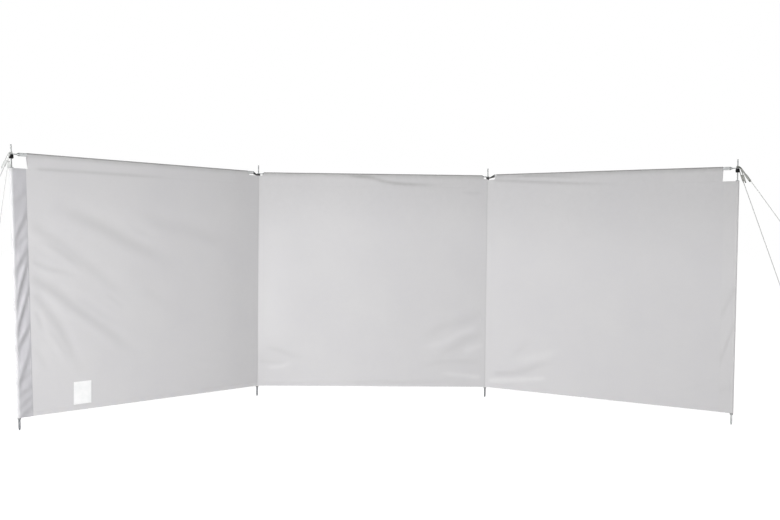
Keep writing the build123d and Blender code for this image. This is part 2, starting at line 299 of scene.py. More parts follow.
@dataclass(frozen=True)
class CoatedPolyester:
    """Plain-woven polyester with a polyurethane coating, dyed grey.

    To the eye it is matt, with faint slubs along the threads, soft blotches where it was folded away and a fine
    crumple from packing. Its colour also carries grime and painted shade on its crowns, by its edges, along
    seams and in creases, painted highlights on ridges and over the sleeves' crowns, and a paler strip at the
    foot of the hem.
    """

    name: str
    colour: str
    shade: str
    # colour mixed in where the cloth carries painted shade and grime
    painted_shade_and_grime: str
    # colour mixed in for painted highlights, and for the paler foot of the hem
    rubbed: str = "f1f1f0"
    thread: float = 0.0011  # real threads lie 0.5 mm apart, drawn coarser so that the weave still shows
    slub: float = 0.012  # length of a thick place in a thread
    blotch: float = 0.35
    crumple: float = 0.030

    def material(self) -> bpy.types.Material:
        """Build the cloth's material.

        Returns:
            The material.
        """
        material, tree = new_tree(self.name)
        flat = add_node(tree, "UVMap", uv_map="cut").outputs[0]
        bands = {"Vector": flat, "Scale": WAVE_BAND / self.thread, "Distortion": 0.0}
        warp, weft = (add_node(tree, "TexWave", bands, bands_direction=way).outputs[1] for way in "XY")
        fine, coarse = 1 / self.slub, 0.1 / self.thread
        slubs = []
        for scale in ((fine, coarse, 1), (coarse, fine, 1)):
            drawn = add_node(tree, "Mapping", {"Vector": flat, "Scale": scale}).outputs[0]
            slubs.append(add_node(tree, "TexNoise", {"Vector": drawn, "Scale": 1.0, "Detail": 1.0}).outputs[0])
        slub = add_node(tree, "Math", {0: slubs[0], 1: slubs[1]}, operation="ADD").outputs[0]
        blotch = add_node(tree, "TexNoise", {"Vector": flat, "Scale": 1 / self.blotch, "Detail": 4.0,
                                             "Roughness": 0.55}).outputs[0]
        crumple = add_node(tree, "TexNoise", {"Vector": flat, "Scale": 1 / self.crumple, "Detail": 3.0,
                                              "Distortion": 0.6}).outputs[0]
        mottle = add_node(tree, "Math", {0: slub, 1: 0.10, 2: blotch}, operation="MULTIPLY_ADD").outputs[0]
        colour = ramp(tree, mottle, [(0.34, self.shade), (0.80, self.colour)])
        patchy = add_node(tree, "Math", {0: crumple, 1: 0.5, 2: 0.75}, operation="MULTIPLY_ADD").outputs[0]
        # the first layer holds painted shade and grime, the second painted highlights and the hem's paler foot
        for layer, shade in (("painted_shade_and_grime", self.painted_shade_and_grime), ("rubbed", self.rubbed)):
            painted_light_and_wear = add_node(tree, "Attribute", attribute_name=layer).outputs["Fac"]
            share = add_node(tree, "Math", {0: painted_light_and_wear, 1: patchy}, operation="MULTIPLY",
                             use_clamp=True).outputs[0]
            colour = add_node(tree, "Mix", {0: share, 6: colour, 7: linear(shade)}, data_type="RGBA").outputs[2]
        weave = add_node(tree, "Math", {0: warp, 1: weft}, operation="ADD").outputs[0]
        cloth = add_node(tree, "Math", {0: slub, 1: 1.2, 2: weave}, operation="MULTIPLY_ADD").outputs[0]
        threads = add_node(tree, "Bump", {"Height": cloth, "Distance": 0.00006, "Strength": 0.5}).outputs[0]
        bumped = add_node(tree, "Bump", {"Height": crumple, "Distance": 0.0012, "Strength": 0.35,
                                         "Normal": threads}).outputs[0]
        rough = add_node(tree, "Math", {0: blotch, 1: 0.15, 2: 0.68}, operation="MULTIPLY_ADD").outputs[0]
        finish_surface(tree, {"Base Color": colour, "Roughness": rough, "Normal": bumped,
                              "Specular IOR Level": 0.35, "Sheen Weight": 0.08, "Sheen Roughness": 0.5})
        return material


@dataclass(frozen=True)
class SatinPatch:
    """Satin-woven polyester patch, white and blank: smoother than the panel, with threads one way."""

    name: str = "satin_polyester_patch"
    colour: str = "fafafa"
    shade: str = "f3f4f4"
    thread: float = 0.0008  # real threads lie 0.2 mm apart, drawn coarser
    soil: float = 1 / 28  # cloudy soiling about 36 mm across

    def material(self) -> bpy.types.Material:
        """Build the patch's material.

        Returns:
            The material.
        """
        material, tree = new_tree(self.name)
        flat = add_node(tree, "UVMap", uv_map="cut").outputs[0]
        rib = add_node(tree, "TexWave", {"Vector": flat, "Scale": WAVE_BAND / self.thread, "Distortion": 0.3},
                       bands_direction="Y").outputs[1]
        soil = add_node(tree, "TexNoise", {"Vector": flat, "Scale": 1 / self.soil, "Detail": 4.0}).outputs[0]
        colour = ramp(tree, soil, [(0.35, self.shade), (0.65, self.colour)])
        bump = add_node(tree, "Bump", {"Height": rib, "Distance": 0.00005, "Strength": 0.4}).outputs[0]
        finish_surface(tree, {"Base Color": colour, "Roughness": 0.5, "Normal": bump,
                              "Specular IOR Level": 0.4})
        return material


@dataclass(frozen=True)
class SewingThread:
    """Bonded polyester sewing thread: twisted, a little glossier than the cloth that it holds."""

    name: str
    colour: str
    twist: float = 0.0009

    def material(self) -> bpy.types.Material:
        """Build the thread's material.

        Returns:
            The material.
        """
        material, tree = new_tree(self.name)
        place = add_node(tree, "TexCoord").outputs["Object"]
        twist = add_node(tree, "TexWave", {"Vector": place, "Scale": WAVE_BAND / self.twist, "Distortion": 1.0},
                         bands_direction="DIAGONAL").outputs[1]
        bump = add_node(tree, "Bump", {"Height": twist, "Distance": 0.0001}).outputs[0]
        finish_surface(tree, {"Base Color": linear(self.colour), "Roughness": 0.55, "Normal": bump})
        return material


@dataclass(frozen=True)
class PaintedSteelTube:
    """Powder-coated steel tube: satin grey with faint orange peel and rubbed streaks along it."""

    name: str
    colour: str
    rubbed: str
    peel: float = 0.0015
    streak: float = 0.004

    def material(self) -> bpy.types.Material:
        """Build the coating's material.

        Returns:
            The material.
        """
        material, tree = new_tree(self.name)
        place = add_node(tree, "TexCoord").outputs["Object"]
        peel = add_node(tree, "TexNoise", {"Vector": place, "Scale": 1 / self.peel, "Detail": 2.0}).outputs[0]
        wear = add_node(tree, "TexNoise", {"Vector": place, "Scale": 1 / self.streak, "Detail": 5.0,
                                           "Roughness": 0.7, "Distortion": 0.8}).outputs[0]
        colour = ramp(tree, wear, [(0.45, self.colour), (0.75, self.rubbed)])
        rough = add_node(tree, "Math", {0: wear, 1: 0.25, 2: 0.25}, operation="MULTIPLY_ADD").outputs[0]
        bump = add_node(tree, "Bump", {"Height": peel, "Distance": 0.00005}).outputs[0]
        finish_surface(tree, {"Base Color": colour, "Roughness": rough, "Normal": bump})
        return material


@dataclass(frozen=True)
class ZincPlatedSteel:
    """Bright zinc-plated steel rod: greyish white metal with cloudy plating and drawn scratches."""

    name: str
    colour: str
    dull: str
    cloud: float = 0.006
    scratch: float = 0.0012

    def material(self) -> bpy.types.Material:
        """Build the plating's material.

        Returns:
            The material.
        """
        material, tree = new_tree(self.name)
        place = add_node(tree, "TexCoord").outputs["Object"]
        cloud = add_node(tree, "TexNoise", {"Vector": place, "Scale": 1 / self.cloud, "Detail": 5.0}).outputs[0]
        scratch = add_node(tree, "TexNoise", {"Vector": place, "Scale": 1 / self.scratch, "Detail": 2.0,
                                              "Distortion": 1.5}).outputs[0]
        colour = ramp(tree, cloud, [(0.38, self.dull), (0.62, self.colour)])
        rough = add_node(tree, "Math", {0: cloud, 1: 0.35, 2: 0.18}, operation="MULTIPLY_ADD").outputs[0]
        bump = add_node(tree, "Bump", {"Height": scratch, "Distance": 0.00004}).outputs[0]
        finish_surface(tree, {"Base Color": colour, "Metallic": 1.0, "Roughness": rough, "Normal": bump})
        return material


@dataclass(frozen=True)
class MouldedNylon:
    """Injection-moulded nylon: dull and slightly grained, scuffed paler on its high places."""

    name: str
    colour: str
    scuffed: str
    grain: float = 0.0008
    scuff: float = 1 / 220  # scuffs about 4.5 mm long
    gloss: float = 0.5  # specular level, lower where the surface is dull

    def material(self) -> bpy.types.Material:
        """Build the plastic's material.

        Returns:
            The material.
        """
        material, tree = new_tree(self.name)
        place = add_node(tree, "TexCoord").outputs["Object"]
        grain = add_node(tree, "TexVoronoi", {"Vector": place, "Scale": 1 / self.grain}).outputs[0]
        scuff = add_node(tree, "TexNoise", {"Vector": place, "Scale": 1 / self.scuff, "Detail": 6.0,
                                            "Roughness": 0.7}).outputs[0]
        colour = ramp(tree, scuff, [(0.52, self.colour), (0.78, self.scuffed)])
        rough = add_node(tree, "Math", {0: scuff, 1: 0.3, 2: 0.35}, operation="MULTIPLY_ADD").outputs[0]
        bump = add_node(tree, "Bump", {"Height": grain, "Distance": 0.00006, "Strength": 0.6}).outputs[0]
        finish_surface(tree, {"Base Color": colour, "Roughness": rough, "Normal": bump,
                              "Specular IOR Level": self.gloss})
        return material


@dataclass(frozen=True)
class BraidedPolyester:
    """Braided polyester cord: crossing yarns with soft shadows between them, and a little fuzz."""

    name: str
    colour: str
    gap: str
    yarn: float = 0.0022
    fuzz: float = 1 / 900  # loose fibres, about 1.1 mm apart

    def material(self) -> bpy.types.Material:
        """Build the cord's material.

        Returns:
            The material.
        """
        material, tree = new_tree(self.name)
        run = add_node(tree, "UVMap", uv_map="cut").outputs[0]
        left = add_node(tree, "TexWave", {"Vector": run, "Scale": WAVE_BAND / self.yarn, "Distortion": 0.2},
                        bands_direction="DIAGONAL").outputs[1]
        turned = add_node(tree, "Mapping", {"Vector": run, "Scale": (-1, 1, 1)}).outputs[0]
        right = add_node(tree, "TexWave", {"Vector": turned, "Scale": WAVE_BAND / self.yarn, "Distortion": 0.2},
                         bands_direction="DIAGONAL").outputs[1]
        braid = add_node(tree, "Math", {0: left, 1: right}, operation="MAXIMUM").outputs[0]
        fuzz = add_node(tree, "TexNoise", {"Vector": run, "Scale": 1 / self.fuzz, "Detail": 2.0}).outputs[0]
        mixed = add_node(tree, "Math", {0: fuzz, 1: 0.3, 2: braid}, operation="MULTIPLY_ADD").outputs[0]
        colour = ramp(tree, mixed, [(0.30, self.gap), (0.85, self.colour)])
        bump = add_node(tree, "Bump", {"Height": mixed, "Distance": 0.0002}).outputs[0]
        finish_surface(tree, {"Base Color": colour, "Roughness": 0.8, "Normal": bump, "Sheen Weight": 0.1})
        return material


class Finish(Enum):
    """Every finish on the windbreak."""

    PANEL = CoatedPolyester("coated_polyester_panel", "d4d3d4", "d0cfd1", "9a9a99")
    # a darker copy of the sleeve cloth for the outer left sleeve: painted shade
    DARK_SLEEVE = CoatedPolyester("coated_polyester_shaded_sleeve", "c6c5c9", "bdbcc0", "7f7f7f")
    PALE_SLEEVE = CoatedPolyester("coated_polyester_sleeve", "d5d4d5", "d1d0d1", "9a9a99")
    PATCH = SatinPatch()
    THREAD = SewingThread("polyester_thread", "cacacb")
    PATCH_THREAD = SewingThread("white_polyester_thread", "e4e4e4")
    POLE = PaintedSteelTube("powder_coated_grey_steel", "7e8080", "9a9c9c")
    BAR = PaintedSteelTube("powder_coated_pale_steel", "c9cbcb", "8c8e8e")
    ROD = ZincPlatedSteel("zinc_plated_steel", "9c9e9e", "6e7070")
    SPIKE = ZincPlatedSteel("dulled_zinc_plated_steel", "85878a", "55575a")
    # a lighter copy of the spikes' steel for the outer right spike: a painted highlight
    BRIGHT_SPIKE = ZincPlatedSteel("lit_zinc_plated_steel", "b9bbbb", "8f9191")
    BLACK = MouldedNylon("moulded_black_nylon", "141516", "2b2c2d")
    MATT_BLACK = MouldedNylon("matt_black_nylon", "0b0b0c", "161717", gloss=0.12)
    GREY = MouldedNylon("moulded_grey_nylon", "acada8", "bcbdb8")
    PALE_GREY = MouldedNylon("moulded_pale_grey_nylon", "d8dad8", "e6e7e5")
    PALE_ROPE = BraidedPolyester("braided_pale_polyester", "d8d9d7", "c0c2bf")
    DARK_ROPE = BraidedPolyester("braided_olive_polyester", "6a6d63", "43453e")


def build_finishes() -> dict[Finish, bpy.types.Material]:
    """Build each finish's material once."""
    return {finish: finish.value.material() for finish in Finish}


# ---------------------------------------------------------------- where the steelwork stands


@dataclass(frozen=True)
class Pole:
    """A ground pole, from its spike's tip up along its axis."""

    foot: Vector
    axis: Vector

    @staticmethod
    def named(side: str) -> "Pole":
        """Read a pole's place from the record's mount at its foot."""
        mount = next(m for m in frame["record"]["mounts"] if m["name"] == f"foot_{side}")
        return Pole(Vector(mount["pos_m"]), -Vector(mount["axis"]).normalized())

    def at(self, height: float) -> Vector:
        """Point on the axis at a height above the ground."""
        return self.foot + self.axis * ((height - self.foot.z) / self.axis.z)


@dataclass(frozen=True)
class Bay:
    """A straight bay between two poles: positions along it, upward, and forward of the poles' line."""

    start: Vector
    along: Vector
    length: float
    bar: float

    @staticmethod
    def between(left: Pole, right: Pole, node: str) -> "Bay":
        """Lay a bay out between two poles.

        Args:
            left: Pole at its start.
            right: Pole at its end.
            node: CAD node of its top bar, which gives the bar's height.

        Returns:
            The bay.
        """
        low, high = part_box(node)
        side_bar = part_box("bar_left")[0][2] + TUBE_RADIUS
        start, end = left.at(side_bar), right.at(side_bar)
        run = end - start
        run.z = 0
        return Bay(Vector((start.x, start.y, 0)), run.normalized(), run.length, (low[2] + high[2]) / 2)

    @property
    def forward(self) -> Vector:
        """Level direction out of the cloth's front."""
        return self.along.cross(UP)

    def point(self, s: float, z: float, out: float) -> Vector:
        """Point at a distance along the bay, a height and a distance forward."""
        return self.start + self.along * s + UP * z + self.forward * out


@dataclass(frozen=True)
class Fold:
    """A soft crease along a line on a panel: the cloth stands out above the line and falls in below it.

    A positive soil is the share of painted shade in the crease, a negative one the share of painted highlight
    on its ridge.
    """

    line: tuple[Flat, ...]
    depth: float
    width: float
    onset: float = 0.12
    fade: float = 0.55
    soil: float = 0.16

    def at(self, s: float, z: float) -> tuple[float, float]:
        """Shape and soiling at a point.

        Args:
            s: Distance along the bay.
            z: Height.

        Returns:
            Metres that the cloth stands forward, and the share of painted shade in the crease, below 0 for a
            painted highlight.
        """
        reach = 3.2 * self.width
        for place, values in zip((s, z), zip(*self.line)):
            if not min(values) - reach < place < max(values) + reach:
                return 0.0, 0.0
        lengths = [math.dist(a, b) for a, b in zip(self.line, self.line[1:])]
        best, gone = (1e9, 0.0, 0.0), 0.0
        for (a, b), length in zip(zip(self.line, self.line[1:]), lengths):
            ux, uz = (b[0] - a[0]) / length, (b[1] - a[1]) / length
            t = min(length, max(0.0, (s - a[0]) * ux + (z - a[1]) * uz))
            far = math.hypot(s - a[0] - ux * t, z - a[1] - uz * t)
            side = (z - a[1]) * ux - (s - a[0]) * uz
            best = min(best, (far, math.copysign(far, side), gone + t))
            gone += length
        x, share = best[1] / self.width, best[2] / gone
        envelope = smooth(share / self.onset) * smooth((1 - share) / self.fade)
        rise = self.depth * envelope * x * math.exp(0.5 - 0.5 * x * x)
        return rise, self.soil * envelope * math.exp(-1.6 * x * x)


def curve(*marks: Flat, parts: int = 5) -> tuple[Flat, ...]:
    """Draw a smooth line through marks.

    Args:
        marks: Places that the line goes through.
        parts: Straight parts between two marks.

    Returns:
        The line's points.
    """
    ends = [Vector(m) for m in (marks[0], *marks, marks[-1])]
    line = [marks[0]]
    for p0, p1, p2, p3 in zip(ends, ends[1:], ends[2:], ends[3:]):
        for t in (i / parts for i in range(1, parts + 1)):
            place = 0.5 * (2 * p1 + (p2 - p0) * t + (2 * p0 - 5 * p1 + 4 * p2 - p3) * t * t
                           + (3 * p1 - p0 - 3 * p2 + p3) * t ** 3)
            line.append((place.x, place.y))
    return tuple(line)


class Row(Enum):
    """Parts of the path that a panel's cloth takes, from its hem to the tail of its tunnel."""

    HEM = "hem strip"
    FRONT = "front"
    TUNNEL = "tunnel"


@dataclass
class Panel:
    """One bay's cloth: a hemmed sheet folded back over its bar and sewn down as a tunnel."""

    name: str
    bay: Bay
    tunnel: tuple[float, float]  # insets of the tunnel's ends from the poles
    drops: tuple[float, float]  # how far below the side bars the cloth is cut away past them
    insets: tuple[float, float]  # insets of the sheet's own edges, at the bar
    leans: tuple[float, float]  # slope of each edge: metres that it moves inward for each metre down
    folds: tuple[Fold, ...]
    seed: float
    side_bar: float
    hem_start: float = 0.0
    hem_end: float = 0.0
    hem: float = HEM_HEIGHT
    hem_width: float = 0.022
    seam_drop: float = 0.0692  # tunnel's seam below the bar
    tail: float = 0.008
    slant: float = 0.012  # how far the cut corners by the inner poles run out
    lean_reach: float = 0.5  # how far in from an edge its lean fades out
    clear: float = 0.012  # distance from a pole or a bar at which the cloth starts to move freely
    ease: float = 0.10  # in which it becomes quite free
    pitch: float = 0.0105
    hem_pitch: float = 0.006
    seam_band: float = 0.004  # to the rows next to the tunnel's seam, which hold its puckers
    edge_band: float = 0.004  # to the columns next to the edges
    under_bar: float = 0.026  # from the bar's axis down to a row that holds the cloth's drop from it
    follow: float = 0.02  # how far above its seam the tunnel's back moves with the front
    turn_steps: int = 14  # round the bar
    slack_steps: int = 8  # from the bar back down to the seam
    slack: float = 0.0025  # that the tunnel's back hangs loose
    ripple: float = 0.0012
    pucker: float = 0.0003  # depth of the puckers along the tunnel's seam
    pucker_pitch: float = 0.028
    seam_shadow_span: tuple[float, float] = (0.0, 0.0)  # where a painted shadow runs along the tunnel's seam
    head: float = 0.04  # share of painted shade just under the bar, which fades out downward
    reach: float = 0.34  # how far down it fades
    darker_all_over: float = 0.0  # share by which the whole panel is painted darker

    def rise(self, s: float, z: float) -> float:
        """Work out how far the cloth stands forward of flat.

        Args:
            s: Distance along the bay.
            z: Height.

        Returns:
            The distance, below 0 where the cloth falls in.
        """
        free = smooth((min(s, self.bay.length - s) - self.clear) / self.ease)
        top = smooth((self.bay.bar - self.clear - z) / self.ease)
        wave = noise.noise(Vector((s * 2.3 + self.seed, z * 3.1, self.seed)))
        wave += 0.45 * noise.noise(Vector((s * 6.0, z * 9.0 + self.seed, self.seed)))
        shape = self.ripple * wave + sum(fold.at(s, z)[0] for fold in self.folds)
        low = 1 - 0.5 * smooth((self.hem + 0.05 - z) / 0.05)
        pucker = self.pucker * math.exp(-((z - self.bay.bar + self.seam_drop) / self.seam_band) ** 2)
        return free * (top * low * shape - pucker * (1 + 0.8 * math.sin(s * 2 * math.pi / self.pucker_pitch)))

    def surface(self, s: float, z: float, lift: float = 0.0) -> Vector:
        """Point on the cloth's front, or lifted off it."""
        return self.bay.point(s, z, CLOTH_RADIUS + self.rise(s, z) + lift)

    def shifted(self, s: float, z: float) -> float:
        """Follow the leaning outer edge, and slant the corners cut out by the inner poles.

        Args:
            s: Place along the bay at the bar.
            z: Height.

        Returns:
            Place along the bay at that height.
        """
        down, length = self.bay.bar - z, self.bay.length
        near = max(0.0, 1 - (s - self.insets[0]) / self.lean_reach)
        far = max(0.0, 1 - (length - self.insets[1] - s) / self.lean_reach)
        moved = s + down * (self.leans[0] * near - self.leans[1] * far)
        for end, (inset, drop, lean) in enumerate(zip(self.tunnel, self.drops, self.leans)):
            if lean:
                continue
            cut = self.side_bar - drop
            across = (s if end == 0 else length - s) / inset
            share = across if across < 1 else max(0.0, 1 - (across - 1) * inset / 0.06)
            level = smooth((self.bay.bar - z) / (self.bay.bar - cut) if z > cut else 1 - (cut - z) / 0.04)
            moved += self.slant * share * level * (-1 if end == 0 else 1)
        return moved

    def path(self) -> list[tuple[Row, float, float, float]]:
        """List the rows of the sheet, from its hem up the front and over the bar.

        Returns:
            Part, distance forward, height and length of cloth so far for each row.
        """
        bar, hem, seam = self.bay.bar, self.hem, self.bay.bar - self.seam_drop
        back = CLOTH_RADIUS - LAYER
        turned = reversed(steps(hem + LAYER, hem + self.hem_width, self.hem_pitch))
        rows = [(Row.HEM, CLOTH_RADIUS + LAYER, z) for z in turned]
        rows.append((Row.HEM, CLOTH_RADIUS + LAYER / 2, hem))
        keep = [hem + self.hem_width, seam, seam - self.seam_band, seam + self.seam_band,
                self.side_bar - max(self.drops), self.side_bar - min(self.drops), bar - self.clear,
                bar - self.under_bar]
        rows += [(Row.FRONT, CLOTH_RADIUS, z) for z in steps(hem + LAYER, bar, self.pitch, keep)]
        turn = 2 * math.pi - math.atan2(self.seam_drop, back)
        turn -= math.acos(CLOTH_RADIUS / math.hypot(back, self.seam_drop))
        for angle in (turn * i / self.turn_steps for i in range(1, self.turn_steps + 1)):
            rows.append((Row.TUNNEL, CLOTH_RADIUS * math.cos(angle), bar + CLOTH_RADIUS * math.sin(angle)))
        off, high = rows[-1][1:]
        for share in (i / self.slack_steps for i in range(1, self.slack_steps + 1)):
            loose = self.slack * math.sin(math.pi * share)
            rows.append((Row.TUNNEL, off + (back - off) * share - loose, high + (seam - high) * share))
        rows.append((Row.TUNNEL, back, seam - self.tail))
        lengths = run_lengths([(out, z) for part, out, z in rows])
        return [(*row, gone) for row, gone in zip(rows, lengths)]

    def cut_away(self, part: Row, s: float, z: float) -> bool:
        """Tell whether the sheet is cut away at a place.

        Args:
            part: Part of the path.
            s: Distance along the bay, at the bar's level.
            z: Height.

        Returns:
            True where there is no cloth.
        """
        length = self.bay.length
        if part is Row.HEM:
            return s < self.hem_start or s > length - self.hem_end
        for inset, drop, place in zip(self.tunnel, self.drops, (s, length - s)):
            if place < inset and (part is Row.TUNNEL or z > self.side_bar - drop):
                return True
        return False

    def painted_shade_and_grime(self, part: Row, s: float, z: float) -> float:
        """Work out the painted shade over the bar and under it, along the tunnel's seam, by the edges and in
        the creases, with the painted highlights on ridges.

        Args:
            part: Part of the path.
            s: Distance along the bay.
            z: Height.

        Returns:
            Share of painted shade and darkening, below 0 where a painted highlight lies instead.
        """
        above = z - self.bay.bar
        # painted shade over the bar's crown and round it, then under the bar, fading downward
        crown = 0.6 * smooth((above - 0.001) / 0.006) + 0.30 * math.exp(-(above / 0.014) ** 2)
        crown += self.head * smooth(1 + above / self.reach)
        # a painted shadow along the tunnel's seam
        line = math.exp(-((above + self.seam_drop + 0.001) / 0.009) ** 2) * (part is Row.FRONT)
        marked = smooth((s - self.seam_shadow_span[0]) / 0.06) * smooth((self.seam_shadow_span[1] - s) / 0.35)
        # painted shade by the panel's edges, and in the creases, below 0 for painted highlights on ridges
        edge = min(s - self.insets[0], self.bay.length - self.insets[1] - s)
        creases = sum(fold.at(s, z)[1] for fold in self.folds) if part is Row.FRONT else 0.0
        return min(1.0, self.darker_all_over + crown + 0.24 * line * marked + 0.20 * smooth(1 - edge / 0.006) + creases)

    def build(self, material: bpy.types.Material) -> bpy.types.Object:
        """Args:
            material: The cloth's finish.

        Returns:
            The piece, which replaces the CAD panel.
        """
        length = self.bay.length
        start, end = self.insets[0], length - self.insets[1]
        columns = steps(start, end, self.pitch,
                        [self.tunnel[0], length - self.tunnel[1], self.hem_start, length - self.hem_end,
                         start + self.edge_band, end - self.edge_band])
        rows = self.path()
        loose = self.bay.bar - self.seam_drop + self.follow

        def kept(row: int, column: int) -> bool:
            """Tell whether the sheet is there past a row and a column."""
            middle = (rows[row][2] + rows[row + 1][2]) / 2
            return not self.cut_away(rows[row + 1][0], (columns[column] + columns[column + 1]) / 2, middle)

        shape, (painted_shade_and_grime, rubbed) = new_sheet("painted_shade_and_grime", "rubbed")
        grid = []
        for part, out, z, gone in rows:
            line = []
            for s in columns:
                moved = self.shifted(s, min(z, self.bay.bar))
                soft = self.rise(moved, z)
                if part is Row.TUNNEL:
                    soft = min(soft, 0.0) if z < loose else 0.0
                vert = shape.verts.new(self.bay.point(moved, z, out + soft))
                # painted shade and darkening go to the first layer; painted highlights on ridges and a paler
                # foot of the hem go to the second
                share = self.painted_shade_and_grime(part, moved, z)
                vert[painted_shade_and_grime] = max(0.0, share)
                vert[rubbed] = max(-share, 0.9 * smooth((self.hem + 0.006 - z) / 0.004))
                line.append((vert, (moved, gone)))
            grid.append(line)
        fill(shape, grid, kept)
        bmesh.ops.delete(shape, geom=[v for v in shape.verts if not v.link_faces], context="VERTS")
        piece = sew(shape, self.name, material)
        return piece

    def stitch_rows(self) -> list[list[Stitch]]:
        """Stitch the tunnel's seam in two rows and the hem in one.

        Returns:
            The rows of stitches.
        """
        length, seam = self.bay.length, self.bay.bar - self.seam_drop
        hem = self.hem + self.hem_width - SEAM_MARGIN
        ends = (self.tunnel[0] + SEAM_MARGIN, length - self.tunnel[1] - SEAM_MARGIN)
        hem_ends = (self.hem_start + 2 * SEAM_MARGIN, length - self.hem_end - 2 * SEAM_MARGIN)
        rows = []
        for z, (first, last), lift in ((seam, ends, 0.0), (seam - 0.006, ends, 0.0), (hem, hem_ends, LAYER)):
            line = [self.surface(self.shifted(s, z), z, lift + THREAD_RADIUS)
                    for s in steps(first, last, SEAM_STEP)]
            rows.append(stitches(line, self.bay.forward))
        return rows


def stitches(points: Sequence[Vector], outward: Vector, pitch: float = 0.0065,
             length: float = 0.0048) -> list[Stitch]:
    """Space single stitches along a line.

    Args:
        points: The seam's line.
        outward: Direction off the cloth.
        pitch: Between the starts of two stitches.
        length: Of the thread that shows.

    Returns:
        The stitches.
    """
    found, left = [], pitch / 2
    for a, b in zip(points, points[1:]):
        run = (b - a).length
        while left < run:
            found.append((a.lerp(b, left / run), (b - a).normalized(), outward, length))
            left += pitch
        left -= run
    return found


def stitching(name: str, rows: Iterable[Sequence[Stitch]], material: bpy.types.Material) -> bpy.types.Object:
    """Build rows of stitches as one piece of small rounded threads sunk at both ends.

    Args:
        name: Piece name.
        rows: Stitches from stitches().
        material: The thread's finish.

    Returns:
        The piece.
    """
    # place along the thread, radius and depth in the cloth of each ring, as shares of the whole
    profile = ((-0.5, 0.35, 0.9), (-0.3, 0.9, 0.1), (0.0, 1.0, 0.0), (0.3, 0.9, 0.1), (0.5, 0.35, 0.9))
    angles = (0.0, math.pi / 3, 2 * math.pi / 3, math.pi, 1.5 * math.pi)
    shape = bmesh.new()
    for centre, run, outward, length in (stitch for row in rows for stitch in row):
        side = outward.cross(run).normalized()
        rings = []
        for t, size, sink in profile:
            middle = centre + run * (length * t) - outward * (THREAD_RADIUS * sink)
            wide, high = side * (THREAD_RADIUS * size), outward * (THREAD_RADIUS * size)
            rings.append([shape.verts.new(middle + wide * math.cos(a) + high * math.sin(a)) for a in angles])
        for one, two in zip(rings, rings[1:]):
            for i, j in zip(range(5), (1, 2, 3, 4, 0)):
                shape.faces.new((one[i], one[j], two[j], two[i])).smooth = True
        shape.faces.new(rings[0])
        shape.faces.new(reversed(rings[-1]))
    bmesh.ops.recalc_face_normals(shape, faces=shape.faces)
    return new_piece(name, close_mesh(shape, name), material)


# ---------------------------------------------------------------- sleeves


def tube_path(first: Flat, second: Flat, crown: float, turn: int, count: int) -> list[Flat]:
    """Path of cloth from one point round a tube at the origin to another, as seen along the tube.

    Args:
        first: Where the cloth leaves its first seam.
        second: Where it reaches its second seam.
        crown: Angle of the side of the tube that it goes round, in radians.
        turn: 1 where its angle grows from the first seam to the second, or -1.
        count: Points on the round part.

    Returns:
        Points from first to second.
    """
    before, after = 10, 8  # parts of the straight runs
    ends = []
    for (x, y), way in ((first, -turn), (second, turn)):
        away = math.acos(CLOTH_RADIUS / math.hypot(x, y))
        options = (math.atan2(y, x) + away, math.atan2(y, x) - away)
        ends.append(crown + way * min((way * (angle - crown)) % (2 * math.pi) for angle in options))
    start, end = ends
    angles = [start + (end - start) * i / count for i in range(count + 1)]
    arc = [(CLOTH_RADIUS * math.cos(angle), CLOTH_RADIUS * math.sin(angle)) for angle in angles]
    (x0, y0), (x1, y1) = arc[0], arc[-1]
    head = [(first[0] + (x0 - first[0]) * i / before, first[1] + (y0 - first[1]) * i / before)
            for i in range(before)]
    rear = [(x1 + (second[0] - x1) * i / after, y1 + (second[1] - y1) * i / after)
            for i in range(1, after + 1)]
    return head + arc + rear


@dataclass(frozen=True)
class Gather:
    """A pinch in an outer sleeve, running down from its seam to the pole."""

    top: float
    drop: float
    depth: float
    width: float
    soil: float = 1.0  # share of the sleeve's painted shade that lies in the pinch

    def above(self, across: float, z: float) -> float:
        """Widths that a height lies above the pinch, at a share of the way from the pole to the seam."""
        return (z - self.top + self.drop * (1 - across) ** 1.1) / self.width


